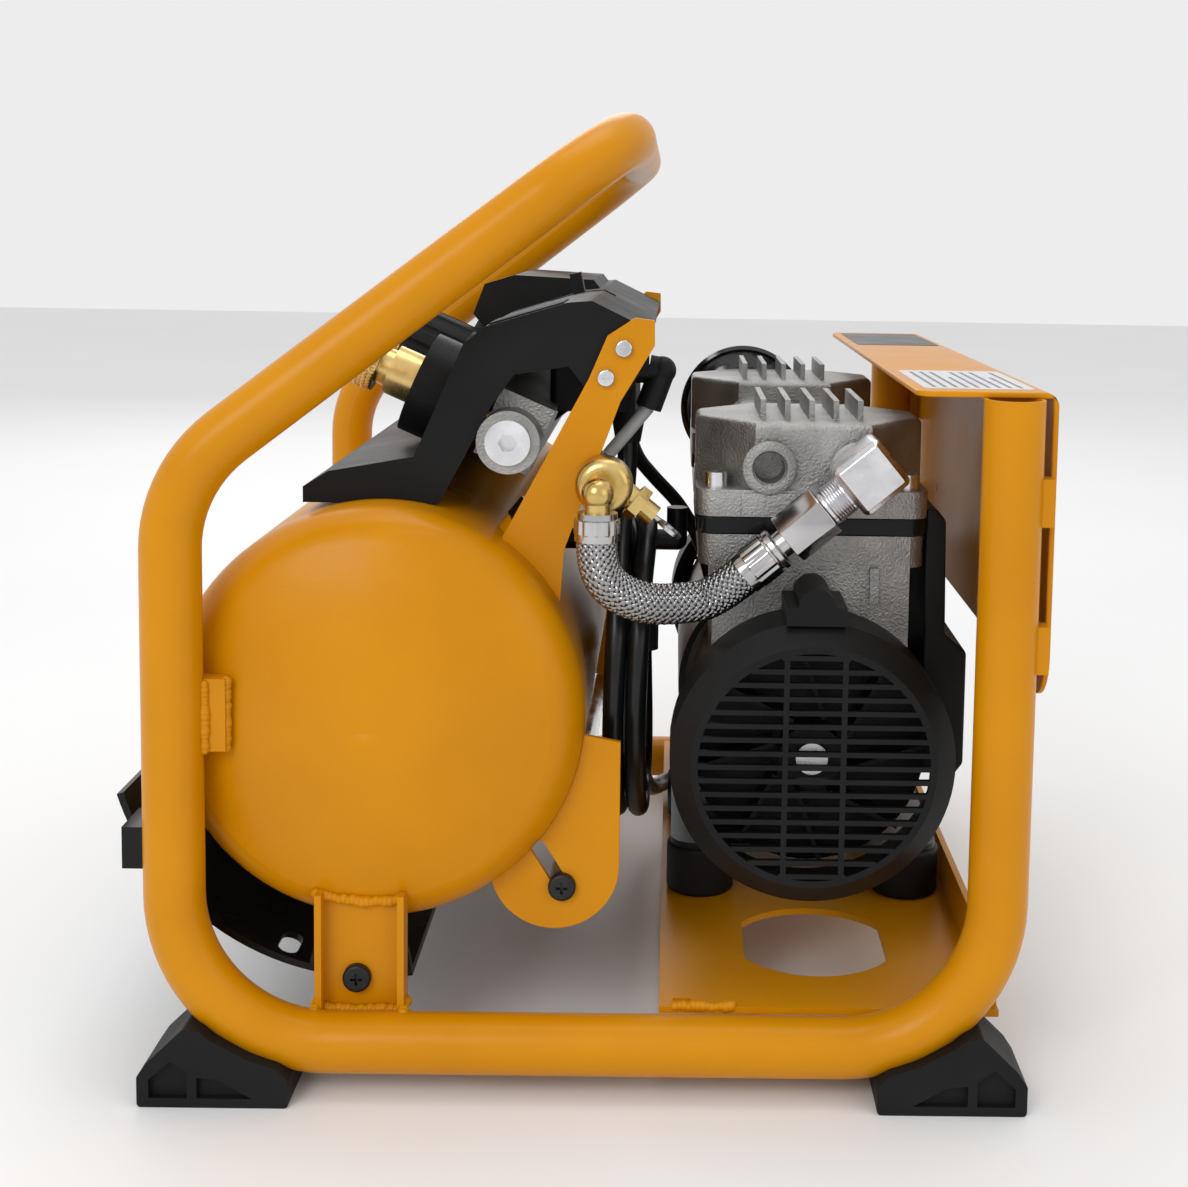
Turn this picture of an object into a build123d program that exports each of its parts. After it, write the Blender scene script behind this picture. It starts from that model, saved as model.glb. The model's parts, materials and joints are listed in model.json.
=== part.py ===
"""Hand-carry twin-head air compressor: side-lying tank in a tubular frame, pump at the rear.

+X points to the rear (pump end), +Y to the machine's left side, +Z up. The origin is on the
floor, below the middle of the machine. Right and left are those of a user behind the console.
"""
import os
from math import atan2, cos, degrees, pi, radians, sin, sqrt, tan

from build123d import *

# ---- Frame ----
frame_length = 348.0  # between the axes of the front and rear uprights
frame_width = 400.0  # between the axes of the two side tubes
tube_d = 25.4
tube_wall = 1.6
tube_height = 21.0  # axis of the bottom tubes above the floor
corner_r = 65.0  # bend of the bottom corners, on the tube's axis
knee_r = 60.0  # bend between an upright and the handle
grip_r = 50.0  # bend between the handle's arms and its grip
knee_z = 262.0  # where the upright's axis and the arm's axis meet
grip_x = 185.0  # grip axis behind the front uprights
grip_z = 407.0
grip_taper = 34.0  # how far each arm leans in over its run
weld_z = 225.0  # joint between side frame and handle hoop
panel_reach = 19.4  # end panel's outer face behind the rear uprights' axis
gap = 0.3  # clearance between neighbouring pieces

# ---- Sheet metal ----
sheet_t = 3.0
panel_t = 2.5
panel_top = 303.0
panel_bottom = 171.0
panel_depth = 59.0  # top flange, front to rear
panel_width = 392.0
base_front = 205.0  # front edge of the pump's base plate, behind the front uprights
base_rear = frame_length + 4.0
base_lip = 20.0
base_half = 191.0
base_hole_x = 66.0
base_hole_y = 77.0
base_hole_mid = 121.0  # centre of each base plate hole, to each side

# ---- Tank ----
tank_r = 91.0
tank_wall = 2.5
tank_straight = 334.0
dome_depth = 35.0
knuckle_r = 22.0  # between the tank's straight middle and each dome
tank_dx = 80.0  # tank axis behind the front uprights
tank_dz = 135.0  # tank axis above the bottom tubes
guard_r = 111.0
guard_half = 184.0
guard_from = 197.0  # start and end of the guard's arc, in degrees round the tank
guard_to = 279.0
tab_y = 170.0  # outer face of the cord-rest tabs
rest_d = 12.0

# ---- Pump ----
pump_dx = 270.0
pump_dz = 118.0
stroke = 18.0
bore_r = 30.0
liner_t = 1.5
head_x = 104.0
head_y = 92.0
head_gap = 112.0  # between the two cylinder heads
head_base = 12.0
head_top = 42.0
crank_h = 94.0  # valve plate's underside above the shaft
crank_half = 44.0
chamber_r = 46.0
crank_r = 52.0
plate_t = 8.0
port_dx = 19.5
port_dz = 22.0
port_r = 7.0
bolt_x = 43.0
bolt_y = 37.0
motor_r = 58.0
motor_wall = 3.0
rotor_r = 32.0
shroud_r = 62.0
shroud_depth = 39.0
shroud_wall = 3.0
grille_r = 50.0
slat_pitch = 6.0
shaft_r = 7.0
bearing_r = 17.0
eccentric_r = 12.0
slide_fit = 0.05  # radial running clearance
mount_r = 17.0
mount_h = 25.0
mount_dx = 52.0
mount_dy = 55.0
mount_shift = 6.5  # mounts' middle behind the shaft
filter_r = 36.0

# ---- Console ----
console_half = 150.0
shell_t = 3.0
face_tilt = 23.3  # the console's face looks forward and this far up
outlet_y = 90.0
gauge_y = 41.0
gauge_r = 17.5
coupler_r = 14.0
knob_r = 19.0
knob_length = 36.0
sleeve_travel = 5.0
manifold_half = 150.0

# ---- Hose and cord ----
hose_r = 9.0
cord_d = 9.5
lead_d = 7.0
air_tube_d = 6.0
coil_r = 84.0  # outer radius of the hanging coil
coil_w = 29.0
coil_band = 24.0
coil_y = -80.0

# guard's overhang ahead of the front uprights' axis
front_reach = (guard_r + sheet_t) * cos(radians(guard_from - 180)) - tank_dx
x_front = (front_reach - panel_reach - frame_length) / 2
x_rear = x_front + frame_length
side_y = frame_width / 2
tank_x = x_front + tank_dx
tank_z = tube_height + tank_dz
pump_x = x_front + pump_dx
pump_z = tube_height + pump_dz
deck_z = tube_height + tube_d / 2 + 0.4  # top of the base plate
head_mid = (head_gap + head_y) / 2  # heads' centres, to each side of the middle
crank_out = head_gap / 2 + head_y  # crankcases' outer faces
valve_z = pump_z + crank_h
head_z = valve_z + plate_t
throw = stroke / 2
upright_top = panel_top - panel_t

os.makedirs("parts", exist_ok=True)


def fx(x):
    """A place given as a distance behind the front uprights."""
    return x_front + x


def fz(z):
    """A height given above the bottom tubes' axis."""
    return tube_height + z


def at(points, dx=0.0, dz=0.0):
    """Outline points given from the front uprights and the bottom tubes."""
    return [(fx(x + dx), fz(z + dz)) for x, z in points]


def side(y):
    """Upright plane at y, seen from the right: local x is X, local y is Z, out is -Y."""
    return Plane(origin=(0, y, 0), x_dir=(1, 0, 0), z_dir=(0, -1, 0))


def facing(origin, direction):
    """Plane at origin whose normal is the given direction and whose local x is Y."""
    return Plane(origin=origin, x_dir=(0, 1, 0), z_dir=direction)


def save(builder, name):
    builder.part.label = name
    export_step(builder.part, f"parts/{name}.step")


def rod_between(start, end, radius, inner=0.0):
    """Straight round bar or pipe from start to end."""
    run = Vector(*end) - Vector(*start)
    with BuildPart() as bar:
        with BuildSketch(Plane(origin=start, z_dir=run)):
            Circle(radius)
            if inner:
                Circle(inner, mode=Mode.SUBTRACT)
        extrude(amount=run.length)
    return bar.part


def hex_between(start, end, across_flats):
    """Hexagonal bar from start to end."""
    run = Vector(*end) - Vector(*start)
    with BuildPart() as bar:
        with BuildSketch(Plane(origin=start, z_dir=run)):
            RegularPolygon(across_flats / 2, 6, major_radius=False)
        extrude(amount=run.length)
    return bar.part


def pan_screw(x, z, face_y, head_r, head_h, shank_r, reach):
    """Cross-head pan screw whose head stands on a face turned to -Y."""
    with BuildPart() as screw:
        with BuildSketch(side(face_y)):
            with Locations((x, z)):
                Circle(head_r)
        extrude(amount=head_h)
        fillet(screw.faces().sort_by(Axis.Y)[0].edges(), 0.4 * head_h)
        with BuildSketch(side(face_y - head_h)):
            with Locations((x, z)):
                Rectangle(0.85 * head_r, 0.2 * head_r)
                Rectangle(0.2 * head_r, 0.85 * head_r)
        extrude(amount=-0.5 * head_h, mode=Mode.SUBTRACT)
        with BuildSketch(side(face_y)):
            with Locations((x, z)):
                Circle(shank_r)
        extrude(amount=-reach)
    return screw.part


def arc_radii(points):
    """Radius of each corner of a free route: 0.45 of the shorter run over tan(half the turn)."""
    radii = []
    for before, corner, after in zip(points, points[1:], points[2:]):
        run_in = Vector(*corner) - Vector(*before)
        run_out = Vector(*after) - Vector(*corner)
        half_turn = radians(run_in.get_angle(run_out)) / 2
        radii.append(0.45 * min(run_in.length, run_out.length) / tan(half_turn))
    return radii


def route_tube(points, radius, radii, inner=0.0):
    """Round tube along straight runs joined by tangent arcs."""
    with BuildPart() as tube:
        with BuildLine() as path:
            FilletPolyline(*points, radius=radii)
        with BuildSketch(Plane(origin=path.line @ 0, z_dir=path.line % 0)):
            Circle(radius)
            if inner:
                Circle(inner, mode=Mode.SUBTRACT)
        sweep(path=path.line)
    return tube.part


def cord_tube(label, points, radius):
    """Tube of a cord or hose, with its radii and its length printed."""
    radii = arc_radii(points)
    tube = route_tube(points, radius, radii)
    length = tube.volume / (pi * radius**2)
    print(label, "radii", [round(r, 1) for r in radii], "length", round(length, 1))
    return tube


# =========================== tubular frame ===========================
frame_rods = {}
for name, y in (("right", -side_y), ("left", side_y)):
    route = [(x_rear, y, upright_top), (x_rear, y, tube_height)]
    route += [(x_front, y, tube_height), (x_front, y, weld_z)]
    frame_rods[name] = route_tube(route, tube_d / 2, [corner_r] * 2)
    with BuildPart() as side_tube:
        add(route_tube(route, tube_d / 2, [corner_r] * 2, tube_d / 2 - tube_wall))
        for spacer_z in (panel_bottom + 25, panel_top - 45):
            with BuildSketch(facing((x_rear + tube_d / 2 - 1, y, spacer_z), (1, 0, 0))):
                Rectangle(10, 20)
            extrude(amount=panel_reach - panel_t - tube_d / 2 + 1)
    save(side_tube, f"side_frame_{name}")

grip_y = side_y - grip_taper
hoop_route = [(x_front, -side_y, weld_z), (x_front, -side_y, knee_z), (fx(grip_x), -grip_y, grip_z)]
hoop_route += [(x, -y, z) for x, y, z in reversed(hoop_route)]
with BuildPart() as hoop:
    hoop_radii = [knee_r, grip_r, grip_r, knee_r]
    add(route_tube(hoop_route, tube_d / 2, hoop_radii, tube_d / 2 - tube_wall))
save(hoop, "handle_hoop")

# Feet: a moulded shoe under each bottom corner, with two blind pockets in its outer cheek
foot_half = tube_d / 2 + 4.5
foot_outline = [(-12, -8), (-8, -2), (7, 12.5), (14, 12), (19, 8), (34, 0), (46, -4), (51, -9)]
foot_outline += [(51, -tube_height), (-12, -tube_height)]
foot_pockets = [
    [(-7, -17), (-7, -9), (2, -1), (9, -6), (9, -17)],
    [(13, -17), (13, -8), (22, -9), (36, -17)],
]
feet = {}
for end, x0, flip in (("front", x_front, 1), ("rear", x_rear, -1)):
    with BuildPart() as shoes:
        with BuildSketch(side(-side_y + foot_half)) as shoe:
            Polygon(*[(x0 + flip * px, fz(pz)) for px, pz in foot_outline])
            fillet(shoe.vertices(), 2.0)
        extrude(amount=2 * foot_half)
        with BuildSketch(side(-side_y - foot_half)):
            for pocket in foot_pockets:
                Polygon(*[(x0 + flip * px, fz(pz)) for px, pz in pocket])
        extrude(amount=-3.2, mode=Mode.SUBTRACT)
        add(frame_rods["right"], mode=Mode.SUBTRACT)
        mirror(about=Plane.XZ)
    save(shoes, f"{end}_feet")
    feet[end] = shoes.part

# =========================== sheet metal ===========================
panel_x = x_rear + panel_reach
with BuildPart() as panel:
    with BuildSketch(side(panel_width / 2)):
        with Locations((panel_x - panel_depth, panel_top - panel_t)):
            Rectangle(panel_depth, panel_t, align=(Align.MIN, Align.MIN))
        with Locations((panel_x - panel_t, panel_bottom)):
            Rectangle(panel_t, panel_top - panel_bottom, align=(Align.MIN, Align.MIN))
    extrude(amount=panel_width)
    bend = panel.edges().filter_by(Axis.Y)
    fillet(bend.sort_by(Axis.X)[-4:].sort_by(Axis.Z)[-1:], 6.0)
    fillet(panel.edges().filter_by(Axis.X).group_by(Axis.Z)[0], 20.0)
    fillet(panel.edges().filter_by(Axis.Z).group_by(Axis.X)[0], 8.0)
save(panel, "rear_panel")

window = Circle(base_hole_y / 2) & Rectangle(base_hole_x, base_hole_y)
with BuildPart() as base_plate:
    with BuildSketch(Plane.XY.offset(deck_z - sheet_t)):
        with Locations((fx(base_front), 0)):
            Rectangle(base_rear - base_front, 2 * base_half, align=(Align.MIN, Align.CENTER))
        for sign in (-1, 1):
            with Locations((fx(277), sign * base_hole_mid)):
                add(window, mode=Mode.SUBTRACT)
            with Locations((fx(base_front + 10), sign * (base_half - 7))):
                Rectangle(8, 2.4, mode=Mode.SUBTRACT)
    extrude(amount=sheet_t)
    with BuildSketch(Plane.XY.offset(deck_z)):
        with Locations((fx(base_rear), 0)):
            Rectangle(sheet_t, 2 * base_half - 12, align=(Align.MAX, Align.CENTER))
    extrude(amount=base_lip)
    add(frame_rods["right"], mode=Mode.SUBTRACT)
    add(frame_rods["left"], mode=Mode.SUBTRACT)
    add(feet["rear"], mode=Mode.SUBTRACT)
save(base_plate, "base_plate")


# =========================== tank ===========================
def vessel(inset):
    """Closed vessel about the tank's axis, inside the tank's outer face by an inset."""
    middle = (tank_x, 0, tank_z)
    half = tank_straight / 2
    radius, dome, knuckle = tank_r - inset, dome_depth - inset, knuckle_r - inset
    knuckle_mid = radius - knuckle
    crown_r = (knuckle_mid**2 + dome**2 - knuckle**2) / (2 * (dome - knuckle))
    turn = degrees(atan2(crown_r - dome, knuckle_mid))
    with BuildPart() as body:
        with BuildSketch(Plane(origin=middle)):
            with BuildLine():
                Line((0, 0), (radius, 0))
                Line((radius, 0), (radius, half))
                CenterArc((knuckle_mid, half), knuckle, 0, turn)
                CenterArc((0, half + dome - crown_r), crown_r, turn, 90 - turn)
                Line((0, half + dome), (0, 0))
            make_face()
        revolve(axis=Axis(middle, (0, 1, 0)))
        mirror(about=Plane.XZ)
    return body.part


def round_tank(angle, radius, y):
    """Point beside the tank's axis, at an angle from +X towards +Z."""
    turn = radians(angle)
    return (tank_x + radius * cos(turn), y, tank_z + radius * sin(turn))


valve_angle, valve_y = 50.0, -130.0
riser_angle, riser_y = 65.0, 55.0
manifold_c = (fx(135), fz(252.6))
drain_x = tank_x + 38
drain_top = tank_z - sqrt(tank_r**2 - (drain_x - tank_x) ** 2) - 6
bung_r, bung_h, bung_bore = 12.0, 6.0, 6.0
bungs = [
    (round_tank(valve_angle, tank_r - 8, valve_y), round_tank(valve_angle, tank_r + bung_h, valve_y)),
    (round_tank(riser_angle, tank_r - 8, riser_y), round_tank(riser_angle, tank_r + bung_h, riser_y)),
    ((drain_x, 0, drain_top + 18), (drain_x, 0, drain_top)),
]
tank_outer = vessel(0)
with BuildPart() as tank:
    add(tank_outer)
    for inner_end, outer_end in bungs:
        add(rod_between(inner_end, outer_end, bung_r))
    add(vessel(tank_wall), mode=Mode.SUBTRACT)
    for inner_end, outer_end in bungs:
        add(rod_between(inner_end, outer_end, bung_bore), mode=Mode.SUBTRACT)
save(tank, "tank_shell")

# Welded brackets: two on the bottom tubes, two lugs on the uprights, two cord-rest tabs
bracket_y = guard_half + gap
bracket_from, bracket_to = 57.6, 95.8
screw_x, screw_z = 74.6, 23.2
rest_x, rest_z = 161.5, 58.0
tab_mid = (158.0, 67.0)
tab_r = 28.5
with BuildPart() as brackets:
    with BuildSketch(side(-bracket_y)):
        Polygon(*at([(bracket_from, 4), (bracket_to, 4), (bracket_to, 68), (bracket_from, 68)]))
    extrude(amount=sheet_t)
    with BuildSketch(side(-bracket_y - sheet_t)):
        for x in (bracket_from, bracket_to - sheet_t):
            Polygon(*at([(x, 4), (x + sheet_t, 4), (x + sheet_t, 62), (x, 62)]))
    extrude(amount=8)
    screw_hole = [(fx(screw_x), y, fz(screw_z)) for y in (-side_y, -180)]
    add(rod_between(*screw_hole, 3.3), mode=Mode.SUBTRACT)
    with BuildSketch(side(-side_y + 24)):
        Polygon(*at([(9, 126), (22, 126), (22, 157), (9, 157)]))
    extrude(amount=24)
    with BuildSketch(side(-tab_y + sheet_t)):
        with Locations((fx(tab_mid[0]), fz(tab_mid[1]))):
            Circle(tab_r)
        left, right = tab_mid[0] - tab_r, tab_mid[0] + tab_r
        Polygon(*at([(left, 67), (120, 100), (150, 130), (right, 123), (right, 67)]))
        with Locations(Location((fx((rest_x + 151) / 2), fz((rest_z + 75) / 2)), 122)):
            SlotCenterToCenter(20, 6.6, mode=Mode.SUBTRACT)
    extrude(amount=sheet_t)
    add(frame_rods["right"], mode=Mode.SUBTRACT)
    add(tank_outer, mode=Mode.SUBTRACT)
    mirror(about=Plane.XZ)
save(brackets, "tank_brackets")

with BuildPart() as rest_rod:
    rest_ends = [(fx(rest_x), y, fz(rest_z)) for y in (-tab_y + sheet_t, tab_y - sheet_t)]
    add(rod_between(*rest_ends, rest_d / 2))
save(rest_rod, "cord_rest_rod")

# Black M6 pan screws: two through the bottom brackets, two in the ends of the cord rest
with BuildPart() as frame_screws:
    add(pan_screw(fx(screw_x), fz(screw_z), -bracket_y - sheet_t, 6.1, 3.6, 3.0, 12))
    add(pan_screw(fx(rest_x), fz(rest_z), -tab_y, 6.1, 3.6, 3.0, sheet_t))
    mirror(about=Plane.XZ)
save(frame_screws, "frame_screws")

# Front guard: a rolled sheet about the tank's axis with an ear at each bottom bracket
with BuildPart() as guard:
    with BuildSketch(side(guard_half)):
        with BuildLine():
            sweep_angle = guard_to - guard_from
            outer_arc = CenterArc((tank_x, tank_z), guard_r + sheet_t, guard_from, sweep_angle)
            inner_arc = CenterArc((tank_x, tank_z), guard_r, guard_from, sweep_angle)
            Line(outer_arc @ 0, inner_arc @ 0)
            Line(outer_arc @ 1, inner_arc @ 1)
        make_face()
    extrude(amount=2 * guard_half)
    for y in (-guard_half + sheet_t, guard_half):
        with BuildSketch(side(y)):
            with BuildLine():
                ear_out = CenterArc((tank_x, tank_z), guard_r + 1, 256, guard_to - 256)
                ear_in = CenterArc((tank_x, tank_z), guard_r - 9, 256, guard_to - 256)
                Line(ear_out @ 0, ear_in @ 0)
                Line(ear_out @ 1, ear_in @ 1)
            make_face()
        extrude(amount=sheet_t)
    for sign in (-1, 1):
        start = (fx(screw_x), sign * 200, fz(screw_z))
        add(rod_between(start, (fx(screw_x), sign * 170, fz(screw_z)), 3.3), mode=Mode.SUBTRACT)
        y = sign * (guard_half - 14)
        slot_out = round_tank(250, guard_r + 10, y)
        with BuildSketch(facing(slot_out, Vector(-cos(radians(250)), 0, -sin(radians(250))))):
            SlotOverall(20, 9)
        extrude(amount=20, mode=Mode.SUBTRACT)
    for sign in (-1, 1):
        with BuildSketch(side(sign * (side_y - 12))):
            Polygon(*at([(-22, 75), (-9, 75), (-9, 93), (-22, 93)]))
        extrude(amount=12, both=True)
    add(frame_rods["right"], mode=Mode.SUBTRACT)
    add(frame_rods["left"], mode=Mode.SUBTRACT)
save(guard, "front_guard")

# Drain valve under the tank, with a quarter-turn lever
stem_z = drain_top - 14
with BuildPart() as drain:
    add(rod_between((drain_x, 0, drain_top - 22), (drain_x, 0, drain_top), 8.0))
    add(rod_between((drain_x, 0, drain_top), (drain_x, 0, drain_top + 8), bung_bore))
    add(hex_between((drain_x, 0, drain_top - 6), (drain_x, 0, drain_top), 20.0))
    add(rod_between((drain_x, -12, stem_z), (drain_x, 0, stem_z), 4.5))
    add(rod_between((drain_x, 0, drain_top - 23), (drain_x, 0, drain_top + 9), 2.5), mode=Mode.SUBTRACT)
save(drain, "drain_valve")
with BuildPart() as drain_lever:
    with BuildSketch(side(-12 - gap)):
        with Locations((drain_x, stem_z)):
            Circle(6)
            Rectangle(34, 8, align=(Align.MIN, Align.CENTER))
    extrude(amount=2.5)
    fillet(drain_lever.edges().filter_by(Axis.Y).sort_by(Axis.X)[-2:], 3.0)
save(drain_lever, "drain_lever")

# =========================== pump ===========================
with BuildPart() as mounts:
    with BuildSketch(Plane.XY.offset(deck_z)):
        with Locations((pump_x + mount_shift, 0)):
            with GridLocations(2 * mount_dx, 2 * mount_dy, 2, 2):
                Circle(mount_r)
    extrude(amount=mount_h)
    fillet(mounts.edges().filter_by(GeomType.CIRCLE), 2.5)
save(mounts, "rubber_mounts")

cradle_z = deck_z + mount_h
shaft_line = ((pump_x, -head_gap / 2, pump_z), (pump_x, head_gap / 2, pump_z))
with BuildPart() as motor:
    with BuildSketch(Plane.XY.offset(cradle_z)):
        with Locations((pump_x + mount_shift, 0)):
            RectangleRounded(2 * mount_dx + 30, 2 * mount_dy + 30, 12)
    extrude(amount=sheet_t)
    for y in (-40, 44):
        with BuildSketch(side(y)):
            with Locations((pump_x, cradle_z)):
                Rectangle(84, pump_z - cradle_z, align=(Align.CENTER, Align.MIN))
        extrude(amount=4)
    add(rod_between(*shaft_line, motor_r))
    add(rod_between(*shaft_line, motor_r - motor_wall), mode=Mode.SUBTRACT)
save(motor, "motor_housing")

stator_out = motor_r - motor_wall
with BuildPart() as stator:
    add(rod_between((pump_x, -30, pump_z), (pump_x, 30, pump_z), stator_out))
    add(rod_between((pump_x, -46, pump_z), (pump_x, 46, pump_z), stator_out - 6))
    add(rod_between((pump_x, -50, pump_z), (pump_x, 50, pump_z), rotor_r + 1), mode=Mode.SUBTRACT)
save(stator, "stator")

shaft_end = crank_out + 26
with BuildPart() as shaft:
    add(rod_between((pump_x, -shaft_end, pump_z), (pump_x, shaft_end, pump_z), shaft_r))
    add(rod_between((pump_x, -34, pump_z), (pump_x, 34, pump_z), rotor_r))
    for sign in (-1, 1):
        pin_x = pump_x - sign * throw
        pin = ((pin_x, sign * head_mid - 7, pump_z), (pin_x, sign * head_mid + 7, pump_z))
        add(rod_between(*pin, eccentric_r))
save(shaft, "motor_shaft")

bearing_y = head_gap / 2
with BuildPart() as bearings:
    inner = shaft_r + slide_fit
    add(rod_between((pump_x, -bearing_y - 10, pump_z), (pump_x, -bearing_y, pump_z), bearing_r, inner))
    mirror(about=Plane.XZ)
save(bearings, "shaft_bearings")

inner_y, outer_y = head_gap / 2, crank_out


def save_pair(builder, name):
    """Save a piece of the left pump end together with its mirror image on the right."""
    with BuildPart() as pair:
        add(builder.part)
        mirror(about=Plane.XZ)
    save(pair, name)


def pump_line(y0, y1, radius, x=0.0, z=0.0, inner=0.0):
    """Round bar along Y, given from the shaft's axis."""
    return rod_between((pump_x + x, y0, pump_z + z), (pump_x + x, y1, pump_z + z), radius, inner)


# Crankcase: chamber round the shaft, cylinder bore above it, bearing seat at the motor's end
with BuildPart() as crankcase:
    add(pump_line(inner_y, outer_y, crank_r))
    with BuildSketch(Plane.XY.offset(pump_z)):
        with Locations((pump_x, head_mid)):
            Rectangle(2 * crank_half, head_y)
    extrude(amount=crank_h)
    with BuildSketch(Plane.XY.offset(valve_z - 14)):
        with Locations((pump_x, head_mid)):
            RectangleRounded(head_x - 3, head_y, 8)
    extrude(amount=14)
    for x in (-28, 28):
        with BuildSketch(Plane.XY.offset(pump_z + shroud_r + 2)):
            with Locations((pump_x + x, outer_y)):
                Rectangle(4, 5)
        extrude(amount=crank_h - shroud_r - 16)
    add(pump_line(inner_y + 10, outer_y - 10, chamber_r), mode=Mode.SUBTRACT)
    barrel = rod_between((pump_x, head_mid, pump_z), (pump_x, head_mid, valve_z + 1), bore_r + liner_t)
    add(barrel, mode=Mode.SUBTRACT)
    add(pump_line(inner_y - 1, head_mid, bearing_r), mode=Mode.SUBTRACT)
    add(pump_line(head_mid, outer_y + 9, shaft_r + 2), mode=Mode.SUBTRACT)
save_pair(crankcase, "crankcases")

with BuildPart() as liners:
    liner_low = (pump_x, head_mid, valve_z - 44)
    add(rod_between(liner_low, (pump_x, head_mid, valve_z), bore_r + liner_t, bore_r))
    mirror(about=Plane.XZ)
save(liners, "cylinder_liners")

with BuildPart() as valve_plates:
    with BuildSketch(Plane.XY.offset(valve_z)):
        with Locations((pump_x, head_mid), (pump_x, -head_mid)):
            RectangleRounded(head_x, head_y, 8)
            Circle(5, mode=Mode.SUBTRACT)
    extrude(amount=plate_t)
save(valve_plates, "valve_plates")

# Piston, rod and big-end eye in one piece, at half stroke; the eye stands clear of its eccentric
eye_r = eccentric_r + 2 * throw + 0.5
crown_z = crank_h - throw - 1
with BuildPart() as piston:
    crown = (pump_x, head_mid, pump_z + crown_z)
    add(rod_between((pump_x, head_mid, pump_z + crown_z - 6), crown, bore_r - slide_fit))
    rod_foot = (pump_x, head_mid, pump_z + eye_r + 2)
    add(rod_between(rod_foot, (pump_x, head_mid, pump_z + crown_z - 3), 6.0))
    add(pump_line(head_mid - 5, head_mid + 5, eye_r + 4.5, inner=eye_r))
save(piston, "piston_left")
with BuildPart() as right_piston:
    mirror(piston.part, about=Plane.XZ)
save(right_piston, "piston_right")

# Cylinder head: flange, cross-shaped body, five cooling fins and two ports each way
head_plan = [(-52, -14), (-26, -44), (26, -44), (52, -14), (52, 14), (26, 44), (-26, 44), (-52, 14)]
with BuildPart() as head:
    with BuildSketch(Plane.XY.offset(head_z)):
        with Locations((pump_x, head_mid)):
            RectangleRounded(head_x, head_y, 8)
    extrude(amount=head_base)
    with BuildSketch(Plane.XY.offset(head_z)):
        with Locations((pump_x, head_mid)):
            Polygon(*head_plan)
    extrude(amount=head_top)
    fillet(head.edges().group_by(Axis.Z)[-1], 3.0)
    for k in range(5):
        with BuildSketch(side(head_mid + 30)):
            with Locations((pump_x + (k - 2) * 11, head_z + head_top - 2)):
                Rectangle(2.6, 11, align=(Align.CENTER, Align.MIN))
        extrude(amount=60)
    for x in (-port_dx, port_dx):
        port_z = crank_h + plate_t + port_dz
        add(pump_line(inner_y, outer_y, port_r + 4.5, x, port_z))
        add(pump_line(inner_y, inner_y + 16, port_r, x, port_z), mode=Mode.SUBTRACT)
        add(pump_line(outer_y - 16, outer_y, port_r, x, port_z), mode=Mode.SUBTRACT)
    with BuildSketch(Plane.XY.offset(head_z)):
        with Locations((pump_x, head_mid)):
            with GridLocations(2 * bolt_x, 2 * bolt_y, 2, 2):
                Circle(3.2)
    extrude(amount=head_base + 1, mode=Mode.SUBTRACT)
save_pair(head, "cylinder_heads")

with BuildPart() as head_bolts:
    with BuildSketch(Plane.XY.offset(head_z)):
        with Locations((pump_x, head_mid), (pump_x, -head_mid)):
            with GridLocations(2 * bolt_x, 2 * bolt_y, 2, 2):
                Circle(3.0)
    extrude(amount=head_base)
    with BuildSketch(Plane.XY.offset(head_z + head_base)):
        with Locations((pump_x, head_mid), (pump_x, -head_mid)):
            with GridLocations(2 * bolt_x, 2 * bolt_y, 2, 2):
                Circle(5.0)
    extrude(amount=7)
    with BuildSketch(Plane.XY.offset(head_z + head_base + 7)):
        with Locations((pump_x, head_mid), (pump_x, -head_mid)):
            with GridLocations(2 * bolt_x, 2 * bolt_y, 2, 2):
                RegularPolygon(2.8, 6)
    extrude(amount=-4, mode=Mode.SUBTRACT)
save(head_bolts, "head_bolts")

with BuildPart() as transfer_tubes:
    for x in (-port_dx, port_dx):
        add(pump_line(-inner_y - 12, inner_y + 12, port_r, x, port_z, port_r - 1.6))
        for y in (-inner_y, inner_y - 4):
            add(pump_line(y, y + 4, port_r + 3, x, port_z, port_r - 1.6))
save(transfer_tubes, "transfer_tubes")

# Fan shroud: dished cover with a slatted grille and a screw lug on top
face_y = crank_out + shroud_depth
with BuildPart() as shroud:
    with BuildSketch(Plane(origin=(pump_x, 0, pump_z))):
        inside = shroud_r - shroud_wall
        Polygon(
            (shroud_r, crank_out), (shroud_r, face_y - 8), (grille_r + 3, face_y), (grille_r, face_y),
            (grille_r, face_y - 3), (grille_r + 2, face_y - 3), (inside, face_y - 9), (inside, crank_out),
        )
    revolve(axis=Axis((pump_x, 0, pump_z), (0, 1, 0)))
    with BuildSketch(side(face_y)):
        with Locations((pump_x - 12.5, pump_z), (pump_x + 12.5, pump_z)):
            Rectangle(2.4, 2 * grille_r)
        for k in range(-8, 9):
            half = sqrt(grille_r**2 - (k * slat_pitch) ** 2) + 0.6
            with Locations((pump_x, pump_z + k * slat_pitch)):
                Rectangle(2 * half, 2.2)
    extrude(amount=2.5)
    with BuildSketch(side(face_y - 4)):
        with Locations((pump_x, pump_z + shroud_r - 1)):
            Rectangle(26, 8, align=(Align.CENTER, Align.MIN))
        with Locations((pump_x, pump_z + shroud_r + 7)):
            Circle(8)
    extrude(amount=shroud_depth - 4)
save_pair(shroud, "fan_shrouds")

fan_in = crank_out + 5
with BuildPart() as fans:
    add(pump_line(fan_in, fan_in + 18, 14, inner=shaft_r))
    add(pump_line(fan_in, fan_in + 2, 52, inner=shaft_r))
    for k in range(8):
        with BuildSketch(side(fan_in + 18)):
            with Locations(Location((pump_x, pump_z), k * 45)):
                with Locations(Location((33, 0), 18)):
                    Rectangle(34, 2)
        extrude(amount=17)
    mirror(about=Plane.XZ)
save(fans, "cooling_fans")

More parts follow.
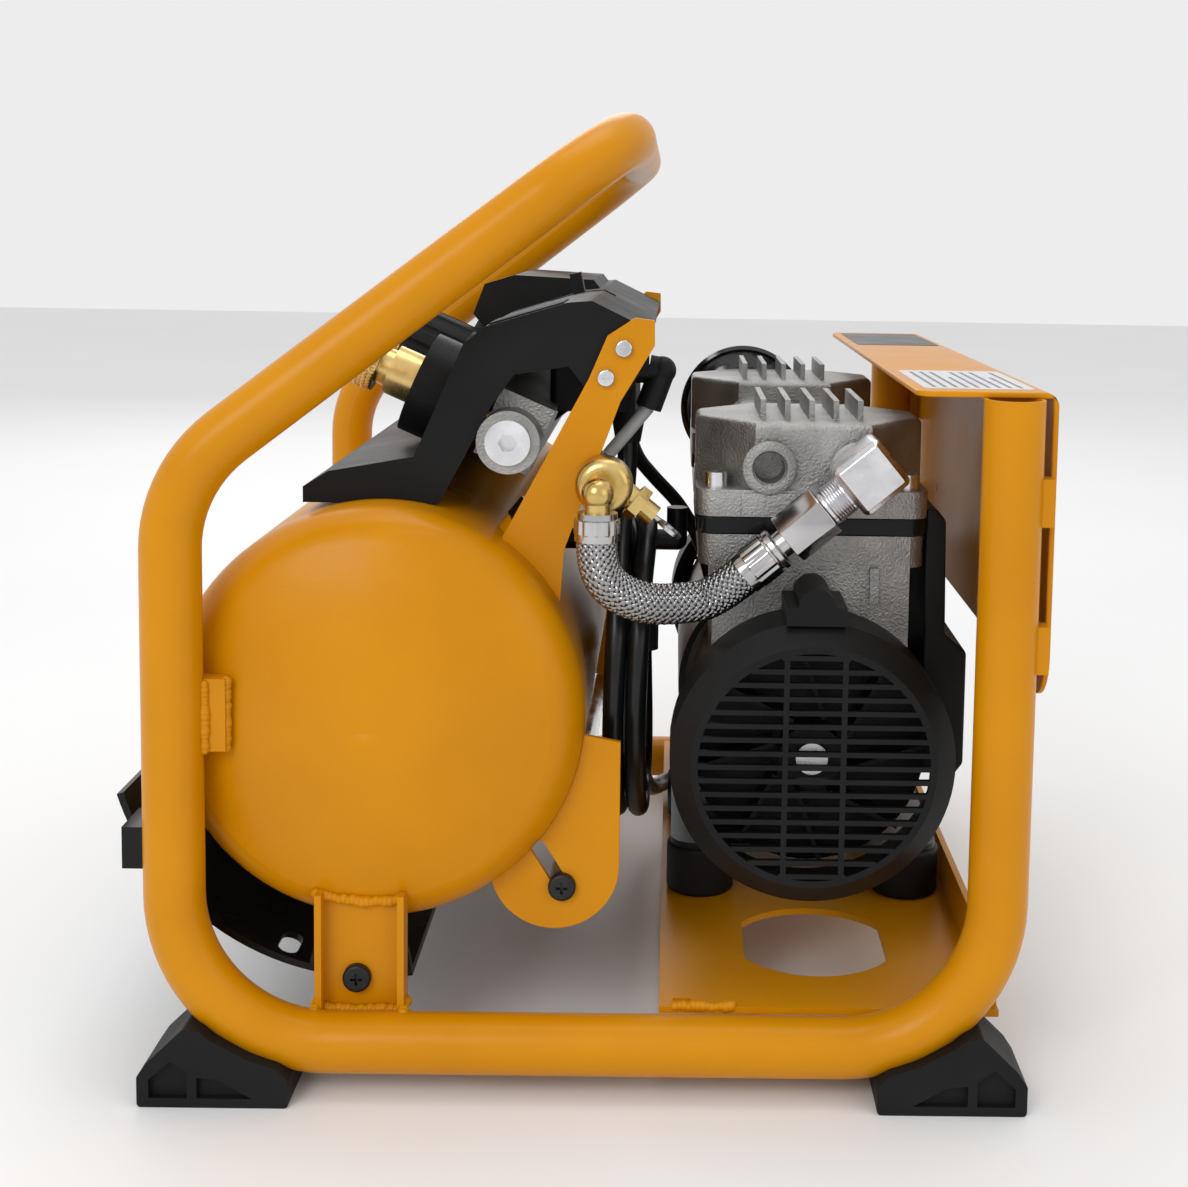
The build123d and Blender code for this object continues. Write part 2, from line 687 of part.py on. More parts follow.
# Black side cover of the motor's wiring and capacitor, on the crankcases' rear faces
cover_outline = [(52.5, -14), (66, -20), (72, -12), (72, 40), (62, 48), (61, 100), (57, 105), (52, 105)]
cover_outline += [(52, 60), (52.5, 50)]
with BuildPart() as cover:
    with BuildSketch(side(crank_out - 8)):
        Polygon(*[(pump_x + x, pump_z + z) for x, z in cover_outline])
    extrude(amount=crank_out - 8 - inner_y)
    with BuildSketch(side(-inner_y)):
        Polygon(*[(pump_x + x, pump_z + z) for x, z in cover_outline])
    extrude(amount=crank_out - 8 - inner_y)
    fillet(cover.edges().filter_by(Axis.Y).group_by(Axis.X)[-1], 4.0)
save(cover, "side_covers")

# Intake filter on the left head's outer port
with BuildPart() as air_filter:
    filter_z = port_z - 5
    add(pump_line(outer_y - 10, outer_y + 6, port_r, -port_dx, port_z))
    add(pump_line(outer_y, outer_y + 5, port_r + 4, -port_dx, port_z))
    add(pump_line(outer_y + 5, outer_y + 32, filter_r, -port_dx, filter_z))
    add(pump_line(outer_y + 5, outer_y + 13, filter_r + 2.5, -port_dx, filter_z))
    fillet(air_filter.faces().sort_by(Axis.Y)[-1].edges(), 4.0)
save(air_filter, "air_filter")

# =========================== air fittings ===========================
elbow_c = (fx(293), -crank_out - 15, fz(242))
hose_turn = radians(220)  # the hose's end points forward and down
hose_dir = (cos(hose_turn), 0, sin(hose_turn))


def down_hose(distance):
    """Point on the hose fitting's axis, measured from the head elbow's centre."""
    return tuple(c + distance * d for c, d in zip(elbow_c, hose_dir))


head_port = (pump_x + port_dx, pump_z + port_z)
with BuildPart() as elbow:
    elbow_back = (elbow_c[0], -crank_out - 3, elbow_c[2])
    with BuildSketch(Plane(origin=elbow_back, x_dir=hose_dir, z_dir=(0, -1, 0))):
        RectangleRounded(25, 25, 3)
    extrude(amount=24)
    chamfer(elbow.faces().sort_by(Axis.Y)[0].edges(), 2.5)
    thread_in = (head_port[0], -crank_out + 10, head_port[1])
    add(rod_between(thread_in, (head_port[0], -crank_out - 4, head_port[1]), port_r))
    add(rod_between(elbow_c, down_hose(24), 8.5))
save(elbow, "head_elbow")

hose_start = (fx(175.5), -178.0, fz(214))
with BuildPart() as hose_fittings:
    add(hex_between(down_hose(24 + gap), down_hose(46), 21))
    add(rod_between(down_hose(46), down_hose(52), 7.5))
    add(rod_between(down_hose(51), down_hose(70), hose_r + 1.2))
    add(rod_between(hose_start, (hose_start[0], hose_start[1], hose_start[2] + 12), hose_r + 1.0))
save(hose_fittings, "hose_fittings")

hose_end = down_hose(70)
hose_mid = [(175.5, -178, 202), (183, -175, 191), (197, -170, 184.5), (214, -166, 184.5)]
hose_points = [hose_start] + [(fx(x), y, fz(z)) for x, y, z in hose_mid] + [down_hose(87), hose_end]
with BuildPart() as hose:
    add(cord_tube("hose", hose_points, hose_r))
save(hose, "braided_hose")

# Check valve on the tank's upper rear quarter: body behind the strap, round cap in front of it
valve_foot = round_tank(valve_angle, tank_r + bung_h, valve_y)
valve_c = (fx(172), valve_y, fz(235))
cap_c = (fx(177.5), -154.0, fz(235))
cap_face = -166.0
with BuildPart() as check_valve:
    add(rod_between(round_tank(valve_angle, tank_r - 2, valve_y), valve_foot, bung_bore))
    add(hex_between(valve_foot, round_tank(valve_angle, tank_r + bung_h + 10, valve_y), 22))
    add(rod_between(valve_foot, round_tank(valve_angle, 130, valve_y), 8.5))
    add(rod_between((valve_c[0], -147, valve_c[2]), (valve_c[0], -116, valve_c[2]), 10.0))
    add(rod_between((fx(179), -140, fz(235)), (fx(179), cap_c[1] - 2, fz(235)), 4.6))
    add(rod_between(cap_c, (cap_c[0], cap_face, cap_c[2]), 12.7))
    fillet(check_valve.faces().sort_by(Axis.Y)[0].edges(), 5.0)
    add(rod_between((hose_start[0], cap_face + 4, fz(234)), (hose_start[0], hose_start[1], fz(234)), 5.5))
    with Locations((hose_start[0], hose_start[1], fz(234))):
        Sphere(7.0)
    hose_top = (hose_start[0], hose_start[1], hose_start[2] + 12)
    add(rod_between((hose_start[0], hose_start[1], fz(234)), hose_top, 5.5))
    port_dir = Vector(1, 0, -0.8).normalized()
    port_root = Vector(fx(179), -143, fz(235))
    port_end = port_root + port_dir * 14
    add(rod_between(port_root, port_end, 5.5))
save(check_valve, "check_valve")

# Safety valve screwed into the check valve's side port, with a pull ring
safety_end = port_end + port_dir * 12
with BuildPart() as safety:
    add(hex_between(port_end, port_end + port_dir * 5, 14))
    add(rod_between(port_end + port_dir * 4, safety_end, 5.0))
    add(rod_between(port_end + port_dir * 5, safety_end, 1.4), mode=Mode.SUBTRACT)
save(safety, "safety_valve")
ring_c = safety_end + port_dir * 9
ring_plane = Plane(origin=ring_c, x_dir=(0, 1, 0), z_dir=Vector(0, 1, 0).cross(port_dir))
with BuildPart() as ring:
    add(rod_between(safety_end - port_dir * 6, safety_end + port_dir * 4, 1.35))
    with BuildSketch(ring_plane):
        Circle(6.5)
        Circle(4.6, mode=Mode.SUBTRACT)
    extrude(amount=0.9, both=True)
save(ring, "safety_ring")

# Unloader: grey tube from the check valve up to a push-fit elbow beside the pressure switch
air_y = -126.0
air_low, air_top = (fx(178), air_y, fz(244.2)), (fx(196), air_y, fz(266))
elbow_mid = (fx(202), air_y, fz(283))
with BuildPart() as air_tube:
    add(rod_between(air_low, air_top, air_tube_d / 2, 1.5))
    add(check_valve.part, mode=Mode.SUBTRACT)
save(air_tube, "unloader_tube")
with BuildPart() as air_elbow:
    add(rod_between(air_top, elbow_mid, 6.0))
    with Locations(elbow_mid):
        Sphere(6.4)
    add(rod_between(elbow_mid, (fx(196), air_y, fz(284)), 6.0))
    add(hex_between((fx(196), air_y, fz(284)), (fx(190), air_y, fz(284)), 12))
    add(air_tube.part, mode=Mode.SUBTRACT)
save(air_elbow, "unloader_elbow")

# =========================== console ===========================
face_dir = Vector(-cos(radians(face_tilt)), 0, sin(radians(face_tilt)))
face_up = Vector(sin(radians(face_tilt)), 0, cos(radians(face_tilt)))
face_mid = Vector(fx(103.75), 0, fz(270))
block_mid = Vector(manifold_c[0], 0, manifold_c[1])


def on_face(y, up=0.0, out=0.0):
    """Point on the console's sloping face: along Y, up the slope and out from it."""
    return face_mid + Vector(0, y, 0) + face_up * up + face_dir * out


shell_outline = [(44, 224), (44, 231), (55, 238), (93, 245), (114.5, 295), (124, 303), (160, 314)]
shell_outline += [(171, 315), (198, 302), (196, 290), (188, 276), (172, 272), (161, 286), (137, 282)]
shell_outline += [(127, 268), (104, 224)]
hood_outline = [(108, 290), (100, 300), (106, 316), (122, 321), (164, 319), (172, 309), (150, 300)]
hood_from, hood_to = 12.0, 132.0
cup_r, cup_h = 24.5, 17.0
lever_y, lever_x, lever_z = -22.0, fx(160), fz(306)
with BuildPart() as console:
    with BuildSketch(side(console_half)) as shell:
        Polygon(*at(shell_outline))
    extrude(amount=2 * console_half)
    with BuildSketch(side(hood_to)):
        Polygon(*at(hood_outline))
    extrude(amount=hood_to - hood_from)
    with BuildSketch(side(console_half - shell_t)):
        offset(Polygon(*at(shell_outline), mode=Mode.PRIVATE), amount=-shell_t, kind=Kind.INTERSECTION)
    extrude(amount=2 * (console_half - shell_t), mode=Mode.SUBTRACT)
    for dx, dz in ((0, -8), (8, -8), (6, -3)):
        with BuildSketch(side(console_half - shell_t)):
            with Locations((dx, dz)):
                inner_face = offset(
                    Polygon(*at(shell_outline), mode=Mode.PRIVATE),
                    amount=-shell_t, kind=Kind.INTERSECTION, mode=Mode.PRIVATE,
                )
                add(inner_face)
        extrude(amount=2 * (console_half - shell_t), mode=Mode.SUBTRACT)
    with BuildSketch(side(hood_to - shell_t)):
        offset(Polygon(*at(hood_outline), mode=Mode.PRIVATE), amount=-shell_t, kind=Kind.INTERSECTION)
    extrude(amount=hood_to - hood_from - 2 * shell_t, mode=Mode.SUBTRACT)
    add(vessel(-gap), mode=Mode.SUBTRACT)
    for y in (-outlet_y, outlet_y):
        add(rod_between(on_face(y, -4, -shell_t), on_face(y, -4, cup_h), cup_r, 10.5))
        add(rod_between(on_face(y, -4, -10), on_face(y, -4, cup_h + 2), 10.5), mode=Mode.SUBTRACT)
        add(rod_between(on_face(y, -4, 5), on_face(y, -4, cup_h + 2), cup_r - 3), mode=Mode.SUBTRACT)
    for y in (-gauge_y, gauge_y):
        add(rod_between(on_face(y, 2, -shell_t), on_face(y, 2, 7), gauge_r + 3.5))
        add(rod_between(on_face(y, 2, -9), on_face(y, 2, 9), gauge_r + gap), mode=Mode.SUBTRACT)
    add(rod_between(on_face(0, 2, -10), on_face(0, 2, 6), 9.0), mode=Mode.SUBTRACT)
    with BuildSketch(Plane.XY.offset(fz(296))):
        with Locations((lever_x, lever_y)):
            Rectangle(34, 14)
    extrude(amount=30, mode=Mode.SUBTRACT)
save(console, "console_shell")

# Yellow straps from the tank up to the console's rear corners, with a folded front edge
strap_outline = [(125, 195), (130, 205), (170, 281), (178, 300), (190, 308), (198.6, 307)]
strap_outline += [(198.8, 296), (184, 271), (160, 205), (158, 178)]
strap_screws = [(177.5, 281.5), (185.2, 294.5)]
with BuildPart() as straps:
    with BuildSketch(side(-console_half)):
        Polygon(*at(strap_outline))
        with Locations(*at(strap_screws)):
            Circle(2.2, mode=Mode.SUBTRACT)
    extrude(amount=sheet_t)
    with BuildSketch(side(-console_half + 6)):
        Polygon(*at([(131, 208), (133.6, 206.5), (141, 219), (138.4, 220.5)]))
    extrude(amount=6)
    add(tank_outer, mode=Mode.SUBTRACT)
    add(console.part, mode=Mode.SUBTRACT)
    mirror(about=Plane.XZ)
save(straps, "console_straps")
with BuildPart() as console_screws:
    for x, z in at(strap_screws):
        add(pan_screw(x, z, -console_half - sheet_t, 3.9, 2.6, 2.0, sheet_t))
    mirror(about=Plane.XZ)
save(console_screws, "console_screws")

# Manifold bar across the machine, with a round boss and a zinc plug at each end
with BuildPart() as manifold:
    bar_end = block_mid - Vector(0, manifold_half - 12, 0)
    with BuildSketch(Plane(origin=bar_end, x_dir=face_dir, z_dir=(0, 1, 0))):
        with Locations((0, 3)):
            Rectangle(26, 32)
    extrude(amount=2 * manifold_half - 24)
    manifold_line = [(block_mid.X, y, block_mid.Z) for y in (-manifold_half - 6, manifold_half + 6)]
    add(rod_between(*manifold_line, 14.0))
    for y in (-manifold_half - 7, manifold_half - 7):
        end_bore = [(block_mid.X, y + reach, block_mid.Z) for reach in (0, 14)]
        add(rod_between(*end_bore, 10), mode=Mode.SUBTRACT)
    riser_low = round_tank(riser_angle, tank_r + 0.5, riser_y)
    add(rod_between(riser_low, round_tank(riser_angle, 122, riser_y), bung_bore))
    riser_hex = [round_tank(riser_angle, tank_r + reach, riser_y) for reach in (bung_h, bung_h + 9)]
    add(hex_between(*riser_hex, 20))
    add(rod_between(on_face(0, 2, -26), on_face(0, 2, 4), 8.5))
    add(rod_between(on_face(0, 2, 4), on_face(0, 2, 30), 5.0))
save(manifold, "manifold")
with BuildPart() as plugs:
    plug_in = (block_mid.X, -manifold_half + 7, block_mid.Z)
    plug_out = (block_mid.X, -manifold_half - 8, block_mid.Z)
    add(rod_between(plug_in, plug_out, 10))
    with BuildSketch(side(plug_out[1])):
        with Locations((plug_out[0], plug_out[2])):
            RegularPolygon(4.2, 6)
    extrude(amount=-5, mode=Mode.SUBTRACT)
    mirror(about=Plane.XZ)
save(plugs, "manifold_plugs")
# Quick couplers: brass body through the console, and a knurled sleeve that slides back to release
with BuildPart() as couplers:
    for y in (-outlet_y, outlet_y):
        add(rod_between(on_face(y, -4, -32), on_face(y, -4, 20), 7.0))
        add(rod_between(on_face(y, -4, 5.3), on_face(y, -4, 31), 12.0))
        add(rod_between(on_face(y, -4, 31), on_face(y, -4, 52), 9.0))
        add(rod_between(on_face(y, -4, 12), on_face(y, -4, 53), 5.6), mode=Mode.SUBTRACT)
    add(manifold.part, mode=Mode.SUBTRACT)
save(couplers, "coupler_bodies")
for name, y in (("right", -outlet_y), ("left", outlet_y)):
    with BuildPart() as sleeve:
        sleeve_low = on_face(y, -4, 31 + sleeve_travel + gap)
        add(rod_between(sleeve_low, on_face(y, -4, 54), coupler_r, 9.0 + slide_fit))
        chamfer(sleeve.edges().filter_by(GeomType.CIRCLE).sort_by(Axis.X)[0], 0.8)
    save(sleeve, f"coupler_sleeve_{name}")

# Gauges: case, glass and needle; tank pressure on the right, outlet pressure on the left
with BuildPart() as cases:
    for y in (-gauge_y, gauge_y):
        add(rod_between(on_face(y, 2, -14), on_face(y, 2, 8), gauge_r))
        add(rod_between(on_face(y, 2, 2), on_face(y, 2, 9), gauge_r - 1.5), mode=Mode.SUBTRACT)
        add(rod_between(on_face(y, 2, 1), on_face(y, 2, 4), 1.2))
save(cases, "gauge_cases")
with BuildPart() as glasses:
    for y in (-gauge_y, gauge_y):
        add(rod_between(on_face(y, 2, 6.4), on_face(y, 2, 7.8), gauge_r - 1.5))
save(glasses, "gauge_glasses")
needle_turn = 45.0  # the dial's zero, at the lower left
for name, y in (("tank", -gauge_y), ("outlet", gauge_y)):
    with BuildPart() as needle:
        needle_plane = Plane(origin=on_face(y, 2, 3.0), x_dir=(0, 1, 0), z_dir=face_dir)
        with BuildSketch(needle_plane):
            with Locations(Location((0, 0), needle_turn)):
                Polygon((-3, -0.9), (13, -0.3), (13, 0.3), (-3, 0.9))
            Circle(2.6)
            Circle(1.2 + slide_fit, mode=Mode.SUBTRACT)
        extrude(amount=0.8)
    save(needle, f"{name}_needle")

# Regulator: a fluted knob on the bonnet of the manifold
with BuildPart() as knob:
    knob_low = 4 + gap + 1
    add(rod_between(on_face(0, 2, knob_low), on_face(0, 2, knob_low + knob_length), knob_r))
    fillet(knob.edges().filter_by(GeomType.CIRCLE).sort_by(Axis.X)[0], 2.5)
    for k in range(12):
        flute_angle = radians(k * 30)
        flute = (Vector(0, 1, 0) * cos(flute_angle) + face_up * sin(flute_angle)) * (knob_r + 2)
        flute_ends = [on_face(0, 2, knob_low + reach) + flute for reach in (5, knob_length + 1)]
        add(rod_between(*flute_ends, 3.4), mode=Mode.SUBTRACT)
    add(rod_between(on_face(0, 2, knob_low - 1), on_face(0, 2, 31), 5.0 + slide_fit), mode=Mode.SUBTRACT)
save(knob, "regulator_knob")

# Pressure switch below the console's top, with its lever and two strain reliefs
switch_box = (fx(150), fx(190), -112.0, -8.0, fz(262), fz(298))
with BuildPart() as switch:
    with BuildSketch(Plane.XY.offset(switch_box[4])):
        with Locations(((switch_box[0] + switch_box[1]) / 2, (switch_box[2] + switch_box[3]) / 2)):
            RectangleRounded(switch_box[1] - switch_box[0], switch_box[3] - switch_box[2], 4)
    extrude(amount=switch_box[5] - switch_box[4])
    add(rod_between((fx(158), -60, fz(266)), (fx(140), -60, fz(252)), 6.0))
    with BuildSketch(Plane.XY.offset(fz(277))):
        with Locations((fx(180), (air_y + switch_box[2]) / 2 - 3)):
            Rectangle(20, switch_box[2] - air_y + 8)
    extrude(amount=15)
    add(manifold.part, mode=Mode.SUBTRACT)
    with BuildSketch(side(lever_y + 9)):
        with Locations((lever_x, lever_z)):
            Circle(8.5)
    extrude(amount=18, mode=Mode.SUBTRACT)
    add(rod_between((lever_x, lever_y - 12, lever_z), (lever_x, lever_y + 12, lever_z), 2.0))
    for y in (lever_y - 12, lever_y + 10):
        with BuildSketch(side(y + 2)):
            with Locations((lever_x, switch_box[5] - 1)):
                Rectangle(8, 12, align=(Align.CENTER, Align.MIN))
        extrude(amount=2)
save(switch, "pressure_switch")
with BuildPart() as lever:
    with BuildSketch(side(lever_y + 5)):
        with Locations((lever_x, lever_z)):
            Circle(6)
            Circle(2.0 + slide_fit, mode=Mode.SUBTRACT)
        with Locations(Location((lever_x, lever_z), 12)):
            with Locations((0, 5)):
                Rectangle(6, 13, align=(Align.CENTER, Align.MIN))
    extrude(amount=10)
save(lever, "switch_lever")

lead_out = (fx(186), -38.0, fz(262))
cord_out = (fx(186), -92.0, fz(262))
boot_l = 16.0
with BuildPart() as boots:
    for place, r_in in ((lead_out, lead_d / 2), (cord_out, cord_d / 2)):
        with BuildSketch(Plane(origin=place, z_dir=(0, 0, -1))):
            Circle(r_in + 4)
        with BuildSketch(Plane(origin=(place[0], place[1], place[2] - boot_l), z_dir=(0, 0, -1))):
            Circle(r_in + 1.2)
        loft()
        add(rod_between(place, (place[0], place[1], place[2] - boot_l), r_in), mode=Mode.SUBTRACT)
save(boots, "strain_reliefs")

# =========================== leads and power cord ===========================
lead_points = [
    lead_out, (fx(186), -38, fz(240)), (fx(190), -36.5, fz(230)), (fx(199), -32, fz(219)),
    (fx(210), -26, fz(207)), (fx(219), -20, fz(192)), (fx(225), -15, fz(177)), (fx(229), -12, fz(161)),
]
with BuildPart() as lead:
    add(cord_tube("motor lead", lead_points, lead_d / 2))
    add(motor.part, mode=Mode.SUBTRACT)
    add(pump_line(-20, 0, motor_r), mode=Mode.SUBTRACT)
save(lead, "motor_lead")

coil_x = fx(188.5)
coil_z = fz(142)
coil_mid_r = coil_r - coil_band / 2
with BuildPart() as coil:
    with BuildSketch(Plane(origin=(coil_x, coil_y + coil_mid_r, coil_z), x_dir=(1, 0, 0), z_dir=(0, 0, 1))):
        RectangleRounded(coil_w, coil_band, 8)
    revolve(axis=Axis((coil_x, coil_y, coil_z), (1, 0, 0)))
save(coil, "cord_coil")

head_points = [cord_out, (fx(186), -92, fz(243)), (fx(188), -90, fz(228)), (fx(188.5), -88, fz(214))]
plug_at = (fx(222), 132.0, deck_z + 13.5)
tail_points = [
    (fx(190), -62, fz(70)), (fx(193), -34, fz(62)), (fx(195), 0, fz(50)), (fx(196), 34, fz(35)),
    (fx(200), 68, fz(23)), (fx(213), 92, deck_z + 10), (fx(222), 112, deck_z + 13.5), plug_at,
]


def outside_coil(tube):
    """The stretch of a cord's tube that lies outside the coil."""
    with BuildPart() as stretch:
        add(tube)
        add(coil.part, mode=Mode.SUBTRACT)
    return stretch.part.solids().sort_by(SortBy.VOLUME)[-1]


cord_head = outside_coil(cord_tube("cord to the coil", head_points, cord_d / 2))
cord_tail = outside_coil(cord_tube("cord to the plug", tail_points, cord_d / 2))
with BuildPart() as cord:
    add(cord_head)
    add(cord_tail)
save(cord, "power_cord")

# Moulded mains plug with two blades and an earth pin, lying on the base plate
with BuildPart() as plug:
    with BuildSketch(Plane(origin=plug_at, x_dir=(1, 0, 0), z_dir=(0, 1, 0))):
        Circle(cord_d / 2 + 1.5)
    body_ends = [(plug_at[0], plug_at[1] + reach, plug_at[2]) for reach in (20, 40)]
    with BuildSketch(Plane(origin=body_ends[0], x_dir=(1, 0, 0), z_dir=(0, 1, 0))):
        Circle(9)
    loft()
    add(rod_between(*body_ends, 13.4))
    for dx, dz, w, h in ((-6.3, 2, 1.5, 6.3), (6.3, 2, 1.5, 6.3), (0, -8, 4.8, 4.8)):
        blade_root = (plug_at[0] + dx, plug_at[1] + 38, plug_at[2] + dz)
        with BuildSketch(Plane(origin=blade_root, x_dir=(1, 0, 0), z_dir=(0, 1, 0))):
            Rectangle(w, h)
        extrude(amount=18)
save(plug, "power_plug")

# Hook on the tank that the coil hangs from
hook_z = coil_z + coil_r - coil_band - 5 - gap
with BuildPart() as hook:
    hook_root = (tank_x + sqrt(tank_r**2 - (hook_z - tank_z) ** 2) - 3, coil_y, hook_z)
    hook_tip = (coil_x + coil_w / 2 + 7, coil_y, hook_z)
    add(rod_between(hook_root, hook_tip, 5.0))
    with Locations(hook_tip):
        Sphere(5.0)
    add(rod_between(hook_tip, (hook_tip[0], coil_y, hook_z + 16), 5.0))
    add(rod_between(hook_root, (hook_root[0] + 6, coil_y, hook_z), 12.0))
    add(tank_outer, mode=Mode.SUBTRACT)
save(hook, "cord_hook")
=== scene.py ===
import json
import random
from math import atan2, cos, pi, radians, sin, sqrt

import bmesh
import bpy
from mathutils import Matrix, Vector

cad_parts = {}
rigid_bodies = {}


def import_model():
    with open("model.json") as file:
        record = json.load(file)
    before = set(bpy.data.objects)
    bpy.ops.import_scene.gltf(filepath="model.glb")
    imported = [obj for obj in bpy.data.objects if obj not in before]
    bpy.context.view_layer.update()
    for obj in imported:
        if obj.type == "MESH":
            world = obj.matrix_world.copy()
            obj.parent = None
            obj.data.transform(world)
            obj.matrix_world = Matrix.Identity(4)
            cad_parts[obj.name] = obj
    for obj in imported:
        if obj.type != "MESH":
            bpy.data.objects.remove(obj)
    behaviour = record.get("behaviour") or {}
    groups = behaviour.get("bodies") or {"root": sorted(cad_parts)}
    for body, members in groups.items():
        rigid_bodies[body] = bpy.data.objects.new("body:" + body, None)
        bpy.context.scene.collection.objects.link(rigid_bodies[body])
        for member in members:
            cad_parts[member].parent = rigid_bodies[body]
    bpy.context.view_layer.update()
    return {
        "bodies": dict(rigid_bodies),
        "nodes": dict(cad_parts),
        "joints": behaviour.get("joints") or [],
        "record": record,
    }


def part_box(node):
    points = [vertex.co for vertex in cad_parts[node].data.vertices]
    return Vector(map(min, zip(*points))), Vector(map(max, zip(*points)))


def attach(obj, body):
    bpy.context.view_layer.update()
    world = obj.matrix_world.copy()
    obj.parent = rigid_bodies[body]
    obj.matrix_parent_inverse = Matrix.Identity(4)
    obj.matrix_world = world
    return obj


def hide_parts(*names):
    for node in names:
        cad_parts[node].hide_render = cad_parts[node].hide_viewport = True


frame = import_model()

joints = {j["name"]: j for j in frame["joints"]}
mounts = {m["name"]: m for m in frame["record"]["mounts"]}
shaftMid = Vector(joints["shaft_spin"]["pos_m"])
faceDir = Vector(mounts["coupler_outlet_right"]["axis"]).normalized()  # out of the console's slope
faceUp = Vector((faceDir.z, 0, -faceDir.x))
tankLow, tankHigh = (Vector(c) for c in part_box("tank_shell"))
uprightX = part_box("side_frame_right")[0][0] + 0.0127  # axis of the front uprights, half a tube in
floorTube = 0.021  # axis of the bottom tubes above the floor


def at(x, y, z):
    # a place measured from the front uprights and the bottom tubes
    return Vector((uprightX + x, y, floorTube + z))


camera = {"place": (0.0376, -0.8977, 0.3691), "yaw": 0.0101, "pitch": 0.0978, "roll": -0.0166,
          "lens": 51.69, "shiftX": -0.0805, "shiftY": -0.168}


def makeCamera(c):
    data = bpy.data.cameras.new("studioCamera")
    data.lens, data.sensor_width = c["lens"], 36
    data.shift_x, data.shift_y = c["shiftX"], c["shiftY"]
    data.clip_start, data.clip_end = 0.05, 50
    forward = Vector((sin(c["yaw"]) * cos(c["pitch"]), cos(c["yaw"]) * cos(c["pitch"]), -sin(c["pitch"])))
    right = Vector((cos(c["yaw"]), -sin(c["yaw"]), 0))
    down = forward.cross(right)
    rolledRight = right * cos(c["roll"]) + down * sin(c["roll"])
    rolledDown = down * cos(c["roll"]) - right * sin(c["roll"])
    obj = bpy.data.objects.new("studioCamera", data)
    turn = Matrix((rolledRight, -rolledDown, -forward)).transposed().to_4x4()
    obj.matrix_world = Matrix.Translation(Vector(c["place"])) @ turn
    bpy.context.scene.collection.objects.link(obj)
    bpy.context.scene.camera = obj


makeCamera(camera)
print("camera set")


def shader(name):
    mat = bpy.data.materials.new(name)
    mat.use_nodes = True
    tree = mat.node_tree
    bsdf = tree.nodes["Principled BSDF"]
    place = tree.nodes.new("ShaderNodeTexCoord")
    return mat, tree, bsdf, place


def noise(tree, place, scale, detail=3.0, stretch=None):
    node = tree.nodes.new("ShaderNodeTexNoise")
    node.inputs["Scale"].default_value = scale
    node.inputs["Detail"].default_value = detail
    if stretch is None:
        tree.links.new(place.outputs["Object"], node.inputs["Vector"])
    else:
        mapping = tree.nodes.new("ShaderNodeMapping")
        mapping.inputs["Scale"].default_value = stretch
        tree.links.new(place.outputs["Object"], mapping.inputs["Vector"])
        tree.links.new(mapping.outputs["Vector"], node.inputs["Vector"])
    return node.outputs["Fac"]


def ramp(tree, source, low, high, colorLow, colorHigh):
    node = tree.nodes.new("ShaderNodeValToRGB")
    node.color_ramp.elements[0].position = low
    node.color_ramp.elements[0].color = (*colorLow, 1)
    node.color_ramp.elements[1].position = high
    node.color_ramp.elements[1].color = (*colorHigh, 1)
    tree.links.new(source, node.inputs["Fac"])
    return node.outputs["Color"]


def span(tree, source, low, high):
    node = tree.nodes.new("ShaderNodeMapRange")
    node.inputs["From Min"].default_value, node.inputs["From Max"].default_value = 0.3, 0.7
    node.inputs["To Min"].default_value, node.inputs["To Max"].default_value = low, high
    tree.links.new(source, node.inputs["Value"])
    return node.outputs["Result"]


def bumpy(tree, bsdf, source, distance):
    node = tree.nodes.new("ShaderNodeBump")
    node.inputs["Distance"].default_value = distance
    node.inputs["Strength"].default_value = 1.0
    tree.links.new(source, node.inputs["Height"])
    tree.links.new(node.outputs["Normal"], bsdf.inputs["Normal"])


def finishOf(name, low, high, rough, grain, depth, patch, metallic=0.0, coat=0.0, gloss=0.5, detail=3.0,
             stretch=None):
    # two tones drifting over the piece, a roughness that drifts with them, and a fine grain
    mat, tree, bsdf, place = shader(name)
    drift = noise(tree, place, patch, 4.0)
    tree.links.new(ramp(tree, drift, 0.35, 0.68, low, high), bsdf.inputs["Base Color"])
    tree.links.new(span(tree, drift, rough[0], rough[1]), bsdf.inputs["Roughness"])
    bumpy(tree, bsdf, noise(tree, place, grain, detail, stretch), depth)
    bsdf.inputs["Metallic"].default_value = metallic
    bsdf.inputs["Coat Weight"].default_value = coat
    bsdf.inputs["Coat Roughness"].default_value = 0.12
    bsdf.inputs["Specular IOR Level"].default_value = gloss
    return mat


